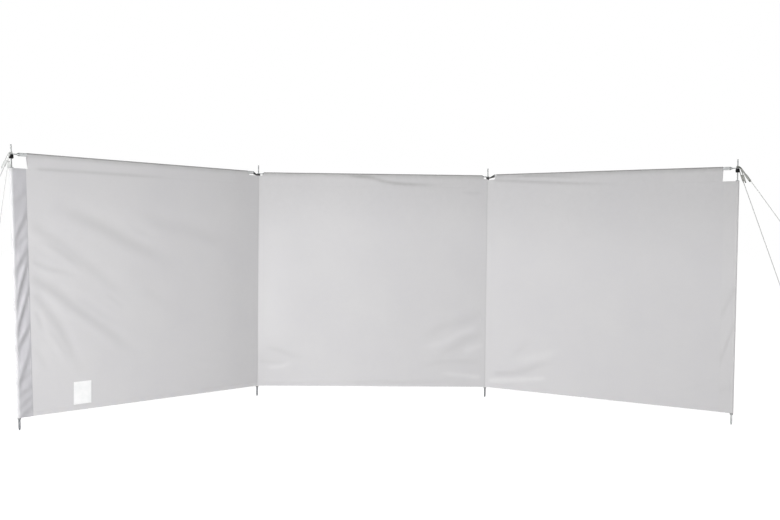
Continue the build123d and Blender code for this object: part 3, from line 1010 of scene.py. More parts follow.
@dataclass
class OuterSleeve:
    """Strip folded round an end pole, its two edges sewn on both faces of the panel."""

    name: str
    pole: Pole
    panel: Panel
    at_start: bool
    gathers: tuple[Gather, ...]
    high: float
    dark: float  # share of painted shade in the gathers
    crown_highlight: float  # share of painted highlight along the crown over the pole
    painted_light_and_wear: float  # share by which the front is painted darker at the top and at the bottom; the lower band, which grows toward the seam, is painted shade
    low: float = HEM_HEIGHT
    seam: float = 0.060
    flap: float = 0.068
    turned: float = 0.004  # width of the turned edges on both faces
    seam_inset: float = 0.0015  # from the flap's two sides to its rows of stitches
    round_steps: int = 12
    past: float = 0.004  # how far past the pole's axis the gathers run
    ripple: float = 0.0012
    darker_top_height: float = 1.02  # above it the front is painted darker
    darker_foot_height: float = 0.36  # below it the front is painted darker, with painted shade
    pitch: float = 0.006

    def section(self) -> list[Flat]:
        """Lay out the path across the sleeve.

        Returns:
            Points inward from the pole's axis, and forward.
        """
        front, back = CLOTH_RADIUS + LAYER, CLOTH_RADIUS - LAYER
        outline = [(self.flap, front - LAYER / 2), (self.flap - self.turned, front)]
        outline += tube_path((self.seam, front), (self.seam, back), math.pi, 1, self.round_steps)
        return outline + [(self.seam + self.turned, back), (self.flap, back)]

    def point(self, inward: float, out: float, z: float) -> Vector:
        """Point at a distance in from the pole's axis, forward, and at a height."""
        way = self.panel.bay.along if self.at_start else -self.panel.bay.along
        return self.pole.at(z) + way * inward + self.panel.bay.forward * out

    def pinch(self, inward: float, z: float) -> float:
        """Work out how far the gathers push the front out or in.

        Args:
            inward: Distance in from the pole's axis.
            z: Height.

        Returns:
            The distance, below 0 where the cloth falls in.
        """
        if not -self.past <= inward <= self.seam:
            return 0.0
        across = inward / self.seam
        total = 0.0
        for gather in self.gathers:
            x = gather.above(across, z)
            total += gather.depth * x * math.exp(0.5 - 0.5 * x * x)
        total += self.ripple * noise.noise(Vector((inward * 30, z * 14 + self.pole.foot.x, 0)))
        return total * smooth(across * 3.0) * (0.35 + 0.65 * smooth((1 - across) * 3.5))

    def soil(self, inward: float, z: float) -> float:
        """Work out the painted shade on the front: in the gathers, under the bar, and as darkening at the top
        and the bottom.

        Args:
            inward: Distance in from the pole's axis.
            z: Height.

        Returns:
            Share of painted shade and darkening.
        """
        across = min(1.0, max(0.0, inward / self.seam))
        # painted shade in the gathers
        pinches = sum(g.soil * math.exp(-0.7 * g.above(across, z) ** 2) for g in self.gathers)
        # painted darker at the top and at the bottom, with painted shade next to the seam below; then the
        # panel's painted shade under the bar
        painted_light_and_wear = self.painted_light_and_wear * (smooth((z - self.darker_top_height) / 0.12)
                            + smooth((self.darker_foot_height - z) / 0.08) * (0.4 + 0.6 * across))
        painted_light_and_wear += self.panel.head * smooth(1 - (self.panel.bay.bar - z) / self.panel.reach)
        return painted_light_and_wear + self.dark * pinches

    def build(self, material: bpy.types.Material) -> bpy.types.Object:
        """Args:
            material: The cloth's finish.

        Returns:
            The piece, which replaces the CAD sleeve.
        """
        outline = self.section()
        lengths = run_lengths(outline)
        half = next(i for i, (x, y) in enumerate(outline) if y < 0)
        shape, (painted_shade_and_grime, rubbed) = new_sheet("painted_shade_and_grime", "rubbed")
        grid = []
        for z in steps(self.low, self.high, self.pitch):
            line = []
            for i, (inward, out) in enumerate(outline):
                front = i < half
                push = self.pinch(inward, z) if front else 0.0
                if front or inward > self.seam - 0.002:
                    push += smooth((inward - 0.012) / 0.03) * self.panel.rise(self.bay_place(inward, z), z)
                vert = shape.verts.new(self.point(inward, out + push, z))
                hem = 0.06 * smooth((z - self.high + 0.020) / 0.004)
                vert[painted_shade_and_grime] = hem + (self.soil(inward, z) if front else 0.0)
                # a painted highlight along the crown over the pole
                vert[rubbed] = self.crown_highlight * smooth((0.006 - inward) / 0.007) * (1 - vert[painted_shade_and_grime])
                line.append((vert, (lengths[i], z)))
            grid.append(line)
        fill(shape, grid)
        piece = sew(shape, self.name, material)
        return piece

    def bay_place(self, inward: float, z: float) -> float:
        """Find a place on the sleeve along the bay.

        Args:
            inward: Distance in from the pole's axis.
            z: Height.

        Returns:
            Distance along the bay.
        """
        place = self.pole.at(z) - self.panel.bay.start
        along = place.dot(self.panel.bay.along)
        return along + inward if self.at_start else along - inward

    def stitch_rows(self) -> list[list[Stitch]]:
        """Stitch the front flap down in two rows.

        Returns:
            The rows of stitches.
        """
        rows = []
        for inward in (self.seam + self.seam_inset, self.flap - self.seam_inset):
            line = []
            for z in steps(self.low + SEAM_MARGIN, self.high - SEAM_MARGIN, SEAM_STEP):
                rise = self.panel.rise(self.bay_place(inward, z), z)
                line.append(self.point(inward, CLOTH_RADIUS + LAYER + rise, z))
            rows.append(stitches(line, self.panel.bay.forward))
        return rows


@dataclass
class InnerSleeve:
    """Strip behind an inner pole, sewn to the backs of the two panels that meet there."""

    name: str
    pole: Pole
    left: Panel
    right: Panel
    high: float
    low: float = HEM_HEIGHT
    seam: float = 0.032
    flap: float = 0.040
    pitch: float = 0.008
    round_steps: int = 14
    ripple: float = 0.0016
    first_stitch: float = 0.03  # above its lower end

    def outline(self) -> list[Vector]:
        """Lay out the level path of the strip round the pole.

        Returns:
            Points from its left flap to its right one, from the pole's axis.
        """
        back = CLOTH_RADIUS - LAYER
        left, right = self.left.bay, self.right.bay
        ends = [(-left.along * d + left.forward * back) for d in (self.flap, self.seam)]
        ends += [(right.along * d + right.forward * back) for d in (self.seam, self.flap)]
        crown = -(left.forward + right.forward)
        path = tube_path(ends[1][:2], ends[2][:2], math.atan2(crown.y, crown.x), -1, self.round_steps)
        return [ends[0], *(Vector((x, y, 0)) for x, y in path), ends[3]]

    def build(self, material: bpy.types.Material) -> bpy.types.Object:
        """Args:
            material: The cloth's finish.

        Returns:
            The piece, which replaces the CAD sleeve.
        """
        outline = self.outline()
        lengths = run_lengths(outline)
        shape, (painted_shade_and_grime,) = new_sheet("painted_shade_and_grime")
        grid = []
        for z in steps(self.low, self.high, self.pitch):
            line = []
            for i, place in enumerate(outline):
                loose = 2 < i < len(outline) - 3 and smooth((place.length - CLOTH_RADIUS - 0.003) / 0.01)
                push = self.ripple * noise.noise(Vector((lengths[i] * 40, z * 9, self.pole.foot.x))) * loose
                vert = shape.verts.new(self.pole.at(z) + place + place.normalized() * push)
                vert[painted_shade_and_grime] = 0.6 * smooth(1 - min(z - self.low, self.high - z) / 0.01)
                line.append((vert, (lengths[i], z)))
            grid.append(line)
        fill(shape, grid)
        piece = sew(shape, self.name, material)
        return piece

    def stitch_rows(self) -> list[list[Stitch]]:
        """Stitch each flap down in one row, seen on the fronts of the panels.

        Returns:
            The rows of stitches.
        """
        rows = []
        middle = (self.seam + self.flap) / 2
        for panel, place in ((self.left, self.left.bay.length - middle), (self.right, middle)):
            levels = steps(self.low + self.first_stitch, self.high, SEAM_STEP)
            rows.append(stitches([panel.surface(place, z, CLOTH_THICKNESS) for z in levels], panel.bay.forward))
        return rows


# ---------------------------------------------------------------- patch


@dataclass
class Patch:
    """Blank patch sewn on the left panel: turned edges a little thicker than its middle."""

    panel: Panel
    name: str = "label_patch"
    thickness: float = 0.0004
    box_slack: float = 0.0006  # that its CAD box is longer than the patch
    border: float = 0.004
    pitch: float = 0.002
    thread_lift: float = 0.0017
    thread_pitch: float = 0.0042
    thread_length: float = 0.0030
    seam_inset: float = 0.001  # of the stitches from the border's inner side
    seat: float = 0.0004  # how far its cut edge lies off the cloth
    bulge: float = 0.0006  # how much further its turned border does
    step: float = 0.0004  # down from the border to its middle
    slack: float = 0.0006  # depth of the soft waves in its middle
    side_parts: int = 12
    sizes: tuple[float, float, float, float] = (0.0, 0.0, 0.0, 0.0)  # its ends along the bay, and its heights

    def build(self, material: bpy.types.Material) -> bpy.types.Object:
        """Args:
            material: The patch's finish.

        Returns:
            The piece, which replaces the CAD patch.
        """
        low, high = (Vector(corner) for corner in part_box(self.name))
        bay = self.panel.bay
        middle = ((low + high) / 2 - bay.start).dot(bay.along)
        wide = Vector((high.x - low.x, high.y - low.y, 0)).length - self.box_slack
        self.sizes = (middle - wide / 2, middle + wide / 2, low.z, high.z)
        columns, levels = steps(*self.sizes[:2], self.pitch), steps(*self.sizes[2:], self.pitch)
        shape, _ = new_sheet()
        grid = []
        for z in levels:
            line = []
            for s in columns:
                edge = min(s - columns[0], columns[-1] - s, z - levels[0], levels[-1] - z)
                wave = 1 + noise.noise(Vector((s * 30, z * 30, 0)))
                lift = self.seat + self.bulge * smooth(edge / 0.0015)
                lift -= self.step * smooth((edge - self.border) / 0.002)
                lift += self.slack * smooth((edge - 0.006) / 0.02) * wave
                vert = shape.verts.new(self.panel.surface(s, z, CLOTH_THICKNESS / 2 + lift))
                line.append((vert, (vert.co.dot(bay.along), vert.co.z)))
            grid.append(line)
        fill(shape, grid)
        piece = sew(shape, self.name, material, self.thickness)
        return piece

    def stitch_rows(self) -> list[list[Stitch]]:
        """Stitch all round, just inside the turned edge.

        Returns:
            The rows of stitches.
        """
        left, right, low, high = self.sizes
        inset = self.border - self.seam_inset
        corners = [(left + inset, low + inset), (right - inset, low + inset), (right - inset, high - inset),
                   (left + inset, high - inset), (left + inset, low + inset)]
        rows = []
        for (s0, z0), (s1, z1) in zip(corners, corners[1:]):
            line = [self.panel.surface(s0 + (s1 - s0) * t, z0 + (z1 - z0) * t, self.thread_lift)
                    for t in (i / self.side_parts for i in range(self.side_parts + 1))]
            rows.append(stitches(line, self.panel.bay.forward, self.thread_pitch, self.thread_length))
        return rows


# ---------------------------------------------------------------- ropes


def rope_mesh(shape: bmesh.types.BMesh, cut: bmesh.types.BMLayerItem, points: Sequence[Vector], radius: float,
              material_index: int, sides: int = 10) -> None:
    """Add a braided cord along points.

    Args:
        shape: Mesh that takes the cord.
        cut: Its UV layer, laid in metres along and round the cord.
        points: The cord's line, about 3 mm apart.
        radius: Its radius.
        material_index: Slot of its finish.
        sides: Faces round it.
    """
    rings = []
    normal = (points[1] - points[0]).orthogonal().normalized()
    for i, (place, run) in enumerate(zip(points, run_lengths(points))):
        ahead = (points[min(i + 1, len(points) - 1)] - points[max(i - 1, 0)]).normalized()
        normal = (normal - ahead * normal.dot(ahead)).normalized()
        side = ahead.cross(normal)
        turned = run * 2 * math.pi / BRAID_PITCH
        ring = []
        for angle in (2 * math.pi * k / sides for k in range(sides)):
            # the crossing yarns stand out by a little of the radius
            size = radius * (0.96 + 0.06 * math.sin(turned + 2 * angle) * math.sin(turned - 2 * angle))
            around = normal * (math.cos(angle) * size) + side * (math.sin(angle) * size)
            ring.append(shape.verts.new(place + around))
        rings.append((ring, run))
    for (one, a), (two, b) in zip(rings, rings[1:]):
        for k in range(sides):
            face = shape.faces.new((one[k], one[(k + 1) % sides], two[(k + 1) % sides], two[k]))
            face.smooth = True
            face.material_index = material_index
            for loop, (u, v) in zip(face.loops, ((a, k), (a, k + 1), (b, k + 1), (b, k))):
                loop[cut].uv = (u, v * 2 * math.pi * radius / sides)
    for ring, turn in ((rings[0][0], 1), (rings[-1][0], -1)):
        shape.faces.new(ring[::turn]).material_index = material_index


@dataclass
class Guy:
    """A guy rope: looped over the pin, doubled down through its slider, then single to its peg."""

    side: str
    pole: Pole
    dark_loop: bool
    bar: float
    level: int  # 0 for the lower loop on the pin, 1 for the upper one
    first_rise: float = 0.0053  # of the lower loop over the side bars' axes
    rise_step: float = 0.0043  # from it to the upper one
    radius: float = 0.002
    pitch: float = 0.003
    loop_radius: float = 0.0058
    loop_parts: int = 14  # of the half turn round the pin
    bend_reach: float = 0.014
    slider_distance: float = 0.058
    slider_length: float = 0.042
    knot_gap: float = 0.0065  # from the slider's end to the stopper knot
    cord_end: float = 0.012  # from the slider's end to the cord's own
    peg_slope: float = math.radians(65)
    peg_loop_rise: float = 0.024
    peg_loop_radius: float = 0.0053
    peg_loop_tilt: float = 0.0012
    peg_loop_parts: int = 24
    peg_reach: float = 0.0071  # from the peg's axis back to where the rope meets its loop
    corner: float = 0.008  # length that each bend by the pin takes up
    knot_radius: float = 0.0021
    knot_half: float = 0.0030
    knot_turns: int = 3
    reach: float = 1.15

    def layout(self) -> dict[str, Vector]:
        """Work out the rope's main places from the pole and the peg.

        Returns:
            Places and directions by name.
        """
        low, high = (Vector(corner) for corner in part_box(f"peg_{self.side}"))
        middle = (low + high) / 2
        top = self.pole.at(self.bar)
        out = Vector((middle.x - top.x, middle.y - top.y, 0)).normalized()
        loop = top + self.pole.axis * (self.first_rise + self.rise_step * self.level)
        shaft = out * math.cos(self.peg_slope) + UP * math.sin(self.peg_slope)
        facing = out * math.sin(self.peg_slope) - UP * math.cos(self.peg_slope)
        peg = Vector((top.x, top.y, 0)) + out * self.reach + shaft * self.peg_loop_rise
        across = UP.cross(out).normalized()
        bend = loop + out * self.bend_reach
        end = peg - facing * self.peg_reach
        slope = (end - bend - across * self.loop_radius).normalized()
        return {"out": out, "loop": loop, "peg": peg, "shaft": shaft, "facing": facing, "across": across,
                "bend": bend, "end": end, "slope": slope}

    def build(self, finishes: dict[Finish, bpy.types.Material]) -> bpy.types.Object:
        """Make the rope with its loop, knots and peg loop.

        Args:
            finishes: The built materials.

        Returns:
            The piece, which replaces the CAD rope.
        """
        at = self.layout()
        wide, slope = at["across"] * self.loop_radius, at["slope"]
        reach = self.slider_distance + self.slider_length
        around = [at["loop"] - wide * math.cos(a) - at["out"] * (self.loop_radius * math.sin(a))
                  for a in (math.pi * i / self.loop_parts for i in range(self.loop_parts + 1))]
        strands = []
        for sign in (-1, 1):
            corner = at["bend"] + wide * sign
            before, after = corner - at["out"] * self.corner, corner + slope * self.corner
            strands.append([before.lerp(corner, t).lerp(corner.lerp(after, t), t)
                            for t in (0, 0.2, 0.4, 0.6, 0.8, 1)])
        back, front = strands
        stop = at["bend"] - wide + slope * (reach + self.cord_end)
        head = [stop - slope * d for d in steps(0, (stop - back[-1]).length - 0.001, self.pitch)]
        run = (at["end"] - front[-1]).length
        doubled = [front[-1] + slope * d for d in steps(0.002, reach, self.pitch)]
        single = [front[-1].lerp(at["end"], d / run) for d in steps(reach, run, self.pitch)]
        across = at["shaft"].cross(at["facing"])
        ring = [at["peg"] + (at["facing"] * math.cos(a) + across * math.sin(a)) * self.peg_loop_radius
                + at["shaft"] * (self.peg_loop_tilt * math.sin(a / 2))
                for a in (2 * math.pi * i / self.peg_loop_parts for i in range(self.peg_loop_parts + 1))]
        shape = bmesh.new()
        cut = shape.loops.layers.uv.new("cut")
        rope_mesh(shape, cut, head + back[::-1] + around + front + doubled, self.radius, 1)
        rope_mesh(shape, cut, single, self.radius, 0)
        self.knot(shape, cut, at["bend"] - wide + slope * (reach + self.knot_gap), slope, 1)
        self.knot(shape, cut, at["end"] - slope * 0.004, slope, 0)
        rope_mesh(shape, cut, ring, self.radius * 0.95, 0)
        mesh = close_mesh(shape, f"guy_{self.side}")
        mesh.materials.append(finishes[Finish.PALE_ROPE])
        mesh.materials.append(finishes[Finish.DARK_ROPE if self.dark_loop else Finish.PALE_ROPE])
        piece = new_piece(f"rope_{self.side}", mesh, finishes[Finish.PALE_ROPE])
        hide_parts(f"guy_{self.side}")
        return piece

    def knot(self, shape: bmesh.types.BMesh, cut: bmesh.types.BMLayerItem, centre: Vector, run: Vector,
             material_index: int) -> None:
        """Wind the cord round itself as a stopper knot.

        Args:
            shape: Mesh that takes the knot.
            cut: Its UV layer.
            centre: The knot's middle.
            run: Direction of the cord.
            material_index: Slot of its finish.
        """
        side = run.orthogonal().normalized()
        other = run.cross(side)
        parts = 12 * self.knot_turns
        turns = []
        for share in (i / parts for i in range(parts + 1)):
            angle = 2 * math.pi * self.knot_turns * share
            turn = side * math.cos(angle) + other * math.sin(angle)
            turns.append(centre + run * (self.knot_half * (2 * share - 1)) + turn * self.knot_radius)
        rope_mesh(shape, cut, turns, self.radius * 0.75, material_index, 8)


# ---------------------------------------------------------------- CAD pieces that stay


def dress_hardware(finishes: dict[Finish, bpy.types.Material]) -> int:
    """Give every kept CAD node its finish.

    Args:
        finishes: The built materials.

    Returns:
        The number of nodes dressed.
    """
    kinds = {
        "pole_": Finish.POLE, "bar_": Finish.BAR, "pin_": Finish.ROD, "eye_": Finish.ROD, "peg_": Finish.ROD,
        # the outer right spike takes the lighter copy of the spikes' steel, a painted highlight
        "spike_outer_right": Finish.BRIGHT_SPIKE, "spike_": Finish.SPIKE, "knob_": Finish.MATT_BLACK,
        "stop_": Finish.BLACK, "hook_": Finish.BLACK, "tensioner_right": Finish.GREY,
        "tensioner_left": Finish.PALE_GREY,
    }
    count = 0
    for name, node in frame["nodes"].items():
        finish = next((f for prefix, f in kinds.items() if name.startswith(prefix)), None)
        if finish:
            node.data.materials.clear()
            node.data.materials.append(finishes[finish])
            count += 1
    return count


# ---------------------------------------------------------------- studio


def share_of_rays(tree: bpy.types.NodeTree, first: str, *others: str) -> bpy.types.NodeSocket:
    """Tell some kinds of ray from the rest.

    Args:
        tree: Node tree that takes the nodes.
        first: Light Path's name for one kind, such as "Camera".
        others: Its names for more kinds.

    Returns:
        A socket that is 1 for these kinds of ray and 0 for the rest.
    """
    path = add_node(tree, "LightPath")
    share = path.outputs[f"Is {first} Ray"]
    for kind in others:
        share = add_node(tree, "Math", {0: share, 1: path.outputs[f"Is {kind} Ray"]}, operation="ADD",
                         use_clamp=True).outputs[0]
    return share


@dataclass(frozen=True)
class Lamp:
    """A large soft lamp that looks at a point."""

    name: str
    place: tuple[float, float, float]
    target: tuple[float, float, float]
    size: Flat
    power: float  # watts

    def hang(self) -> None:
        """Hang the lamp in the scene."""
        data = bpy.data.lights.new(self.name, "AREA")
        data.shape = "ELLIPSE"
        data.size, data.size_y = self.size
        data.energy = self.power
        lamp = bpy.data.objects.new(self.name, data)
        bpy.context.scene.collection.objects.link(lamp)
        lamp.location = self.place
        lamp.rotation_euler = (Vector(self.target) - Vector(self.place)).to_track_quat("-Z", "Y").to_euler()


@dataclass(frozen=True)
class Studio:
    """Pale floor, soft light from the front, low down, both sides, above and behind, and the camera."""

    eye: tuple[float, float, float] = (0.7150, -5.0476, 1.0265)
    yaw: float = math.radians(-1.678)
    pitch: float = math.radians(1.440)
    roll: float = math.radians(0.635)
    lens: float = 35.52  # millimetres on a 36 mm wide sensor
    ambient: float = 0.312
    floor_half: float = 40.0
    floor_glow: float = 0.75  # light that the floor adds where it is seen, so that it stays pale
    lamps: tuple[Lamp, ...] = (
        Lamp("front_softbox", (-1.4, -5.2, 1.0), (0.5, 0.0, 0.7), (2.0, 2.0), 70),
        Lamp("low_softbox", (0.0, -3.2, 0.12), (0.4, 0.0, 0.4), (2.4, 0.2), 18.5),
        Lamp("left_softbox", (-3.6, -3.2, 0.9), (0.9, 0.0, 0.7), (1.6, 1.6), 82),
        Lamp("right_softbox", (4.5, -3.0, 0.9), (0.7, 0.0, 0.7), (1.6, 1.6), 19),
        Lamp("top_softbox", (0.9, -0.8, 4.2), (0.9, -0.6, 0.0), (3.0, 1.4), 16),
        Lamp("back_softbox", (0.9, 5.5, 1.0), (0.7, 0.0, 0.6), (2.0, 2.0), 90),
    )

    def camera(self) -> bpy.types.Object:
        """Make the camera and look through it.

        Returns:
            The camera.
        """
        right = Vector((math.cos(self.yaw), math.sin(self.yaw), 0))
        level = Vector((-math.sin(self.yaw), math.cos(self.yaw), 0))
        ahead = level * math.cos(self.pitch) - UP * math.sin(self.pitch)
        top = level * math.sin(self.pitch) + UP * math.cos(self.pitch)
        x = right * math.cos(self.roll) + top * math.sin(self.roll)
        y = top * math.cos(self.roll) - right * math.sin(self.roll)
        camera = bpy.data.objects.new("camera", bpy.data.cameras.new("camera"))
        bpy.context.scene.collection.objects.link(camera)
        camera.data.lens = self.lens
        camera.data.sensor_width = 36
        camera.matrix_world = Matrix.Translation(self.eye) @ Matrix((x, y, -ahead)).transposed().to_4x4()
        bpy.context.scene.camera = camera
        return camera

    def floor(self) -> bpy.types.Object:
        """Make the pale floor, which keeps the windbreak's shadow.

        Returns:
            The floor.
        """
        material, tree = new_tree("pale_studio_floor")
        seen = share_of_rays(tree, "Camera", "Glossy")
        lift = add_node(tree, "Math", {0: seen, 1: self.floor_glow}, operation="MULTIPLY").outputs[0]
        paper = add_node(tree, "BsdfDiffuse", {"Color": linear("ececec")}).outputs[0]
        glow = add_node(tree, "Emission", {"Color": linear("ffffff"), "Strength": lift}).outputs[0]
        both = add_node(tree, "AddShader", {0: paper, 1: glow}).outputs[0]
        add_node(tree, "OutputMaterial", {"Surface": both})
        shape = bmesh.new()
        bmesh.ops.create_grid(shape, x_segments=4, y_segments=4, size=self.floor_half)
        mesh = close_mesh(shape, "floor")
        mesh.materials.append(material)
        floor = bpy.data.objects.new("floor", mesh)
        bpy.context.scene.collection.objects.link(floor)
        return floor

    def world(self) -> None:
        """Light everything softly, and show plain white behind it."""
        world = bpy.data.worlds.new("studio")
        bpy.context.scene.world = world
        world.use_nodes = True
        tree = world.node_tree
        tree.nodes.clear()
        seen = share_of_rays(tree, "Camera", "Glossy", "Transmission")
        soft = add_node(tree, "Background", {"Color": linear("ffffff"), "Strength": self.ambient}).outputs[0]
        white = add_node(tree, "Background", {"Color": linear("ffffff"), "Strength": 1.0}).outputs[0]
        mixed = add_node(tree, "MixShader", {0: seen, 1: soft, 2: white}).outputs[0]
        add_node(tree, "OutputWorld", {"Surface": mixed})

    def build(self) -> None:
        """Set up the camera, floor, world and lamps."""
        self.camera()
        self.floor()
        self.world()
        for lamp in self.lamps:
            lamp.hang()
        bpy.context.scene.view_settings.view_transform = "Standard"


# ---------------------------------------------------------------- the windbreak


@dataclass
class Windbreak:
    """The whole windbreak, built in order from its CAD skeleton."""

    finishes: dict[Finish, bpy.types.Material]
    poles: dict[str, Pole] = field(init=False)
    bays: dict[str, Bay] = field(init=False)
    side_bar: float = field(init=False)
    edge: float = 0.060  # from an outer pole in to the panel's own edge
    hem_inset: float = 0.0083  # from that edge on to the end of the turned hem
    sleeve_drop: float = 0.073
    inner_drop: float = 0.084
    cut_drop: float = 0.025
    shallow_cut: float = 0.017  # just under the hook of the inner left pole
    middle_cut: float = 0.021

    def __post_init__(self) -> None:
        """Read the poles and bays from the frame."""
        sides = ("outer_left", "inner_left", "inner_right", "outer_right")
        self.poles = {side: Pole.named(side) for side in sides}
        order = list(self.poles.values())
        self.bays = {name: Bay.between(a, b, f"bar_{name}")
                     for name, a, b in zip(("left", "middle", "right"), order, order[1:])}
        self.side_bar = self.bays["left"].bar

    def lean(self, side: str) -> float:
        """Slope of a pole away from upright."""
        axis = self.poles[side].axis
        return math.hypot(axis.x, axis.y) / axis.z

    def panels(self) -> dict[str, Panel]:
        """Describe the three panels with their folds.

        Returns:
            The panels by name, from left to right.
        """
        left, middle, right = self.bays.values()
        corner_left = CLOTH_RADIUS * math.tan(left.along.angle(middle.along) / 2)
        corner_right = CLOTH_RADIUS * math.tan(right.along.angle(middle.along) / 2)
        lean_left, lean_right = self.lean("outer_left"), self.lean("outer_right")
        hem = self.edge + self.hem_inset
        return {
            "left": Panel("panel_left", left, tunnel=(0.076, 0.085), drops=(self.sleeve_drop, self.shallow_cut),
                          insets=(self.edge, corner_left), leans=(lean_left, 0), folds=LEFT_FOLDS, seed=3.7,
                          side_bar=self.side_bar, hem_start=hem, seam_shadow_span=(0.10, 0.95)),
            "middle": Panel("panel_middle", middle, tunnel=(0.036, 0.036),
                            drops=(self.shallow_cut, self.middle_cut), insets=(corner_left, corner_right),
                            leans=(0, 0), folds=MIDDLE_FOLDS, seed=11.2, side_bar=self.side_bar,
                            head=0.16, reach=0.42, darker_all_over=0.06),
            "right": Panel("panel_right", right, tunnel=(0.062, 0.076), drops=(self.cut_drop, self.sleeve_drop),
                           insets=(corner_right, self.edge), leans=(0, lean_right), folds=RIGHT_FOLDS,
                           seed=23.9, side_bar=self.side_bar, hem_end=hem, head=0.21, reach=0.62),
        }

    def sleeves(self, panels: dict[str, Panel]) -> list[tuple[OuterSleeve | InnerSleeve, Finish]]:
        """Describe the four sleeves.

        Args:
            panels: The panels that they are sewn to.

        Returns:
            Each sleeve with its finish.
        """
        left, middle, right = panels.values()
        high, inner_high = self.side_bar - self.sleeve_drop, self.side_bar - self.inner_drop
        outer_left, inner_left, inner_right, outer_right = self.poles.values()
        return [
            # the outer left sleeve takes the darker copy of the sleeve cloth, painted shade
            (OuterSleeve("sleeve_outer_left", outer_left, left, True, LEFT_GATHERS, high,
                         dark=0.22, crown_highlight=0.28, painted_light_and_wear=0.05), Finish.DARK_SLEEVE),
            (OuterSleeve("sleeve_outer_right", outer_right, right, False, RIGHT_GATHERS, high,
                         dark=0.10, crown_highlight=0.12, painted_light_and_wear=0.0), Finish.PALE_SLEEVE),
            (InnerSleeve("sleeve_inner_left", inner_left, left, middle, inner_high), Finish.PALE_SLEEVE),
            (InnerSleeve("sleeve_inner_right", inner_right, middle, right, inner_high), Finish.PALE_SLEEVE),
        ]

    def build(self) -> None:
        """Build and dress every piece, and log each one."""
        panels = self.panels()
        sleeves = self.sleeves(panels)
        patch = Patch(panels["left"])
        sheets = [*((panel, Finish.PANEL) for panel in panels.values()), *sleeves, (patch, Finish.PATCH)]
        for sheet, finish in sheets:
            log.info("cloth %s", sheet.build(self.finishes[finish]).name)
        seams = [(panel.name, panel, Finish.THREAD, "panel_cloth") for panel in panels.values()]
        seams += [(sleeve.name, sleeve, Finish.THREAD, "sleeve_cloth") for sleeve, _ in sleeves]
        seams.append(("patch", patch, Finish.PATCH_THREAD, "label_cloth"))
        for name, sheet, finish, slot in seams:
            seam = stitching(f"stitching_{name}", sheet.stitch_rows(), self.finishes[finish])
            log.info("stitching %s", seam.name)
        for end in ("left", "right"):
            for level, face in enumerate(("front", "back")):
                guy = Guy(f"{end}_{face}", self.poles[f"outer_{end}"], end == "right", self.side_bar, level)
                log.info("guy %s", guy.build(self.finishes).name)
        log.info("hardware: %d CAD pieces dressed", dress_hardware(self.finishes))


# The last number of each fold is painted shade in its crease where positive, and a painted highlight on its
# ridge where negative; a fold of no depth is painted only.
LEFT_FOLDS = (
    Fold(curve((0.16, 1.20), (0.30, 1.15), (0.47, 1.08), (0.62, 1.00), (0.77, 0.93), (0.93, 0.85)),
         -0.0030, 0.042, 0.30, 0.30, 0.05),
    Fold(curve((0.08, 1.10), (0.19, 1.02), (0.30, 0.935), (0.41, 0.85), (0.51, 0.765), (0.61, 0.67),
               (0.70, 0.56)), -0.0020, 0.034, 0.08, 0.60, 0.03),
    Fold(curve((0.09, 0.90), (0.19, 0.85), (0.28, 0.83), (0.38, 0.79)), -0.0011, 0.017, 0.10, 0.60, 0.04),
    Fold(curve((0.09, 0.81), (0.21, 0.73), (0.30, 0.65), (0.37, 0.60), (0.50, 0.50), (0.60, 0.41), (0.71, 0.34),
               (0.80, 0.31)), -0.0027, 0.030, 0.04, 0.50, 0.05),
    Fold(curve((0.10, 0.73), (0.16, 0.65), (0.22, 0.56), (0.27, 0.46), (0.31, 0.37), (0.38, 0.24)),
         -0.0020, 0.028, 0.06, 0.45, 0.04),
    Fold(curve((0.11, 0.64), (0.14, 0.56), (0.155, 0.50)), -0.0011, 0.014, 0.25, 0.50, 0.03),
    Fold(curve((0.10, 0.44), (0.15, 0.36), (0.19, 0.26)), -0.0009, 0.020, 0.20, 0.60, 0.02),
    Fold(curve((0.66, 1.18), (0.82, 1.10), (1.00, 1.075), (1.17, 1.02), (1.32, 1.00)),
         -0.0026, 0.046, 0.30, 0.30, 0.04),
    Fold(curve((0.68, 0.74), (0.82, 0.66), (0.94, 0.56)), -0.0016, 0.036, 0.35, 0.50, 0.02),
    Fold(curve((0.12, 1.02), (0.24, 0.945), (0.33, 0.875), (0.40, 0.80)), -0.0009, 0.016, 0.30, 0.50, 0.03),
    Fold(curve((0.26, 0.74), (0.40, 0.645), (0.52, 0.56), (0.66, 0.49)), -0.0011, 0.020, 0.40, 0.50, 0.03),
    Fold(curve((0.48, 0.71), (0.55, 0.665), (0.62, 0.60)), -0.0009, 0.014, 0.30, 0.50, 0.03),
    Fold(curve((0.60, 1.10), (0.72, 1.05), (0.85, 1.00)), -0.0010, 0.020, 0.40, 0.50, 0.02),
    Fold(curve((0.16, 0.56), (0.24, 0.44), (0.31, 0.30)), -0.0009, 0.014, 0.35, 0.50, 0.02),
    Fold(curve((0.98, 0.31), (1.14, 0.27), (1.30, 0.26)), -0.0012, 0.022, 0.40, 0.40, 0.02),
    # painted shade that deepens toward the inner left pole
    Fold(((1.42, 0.05), (1.42, 1.45)), 0.0, 0.26, 0.02, 0.02, 0.10),
)
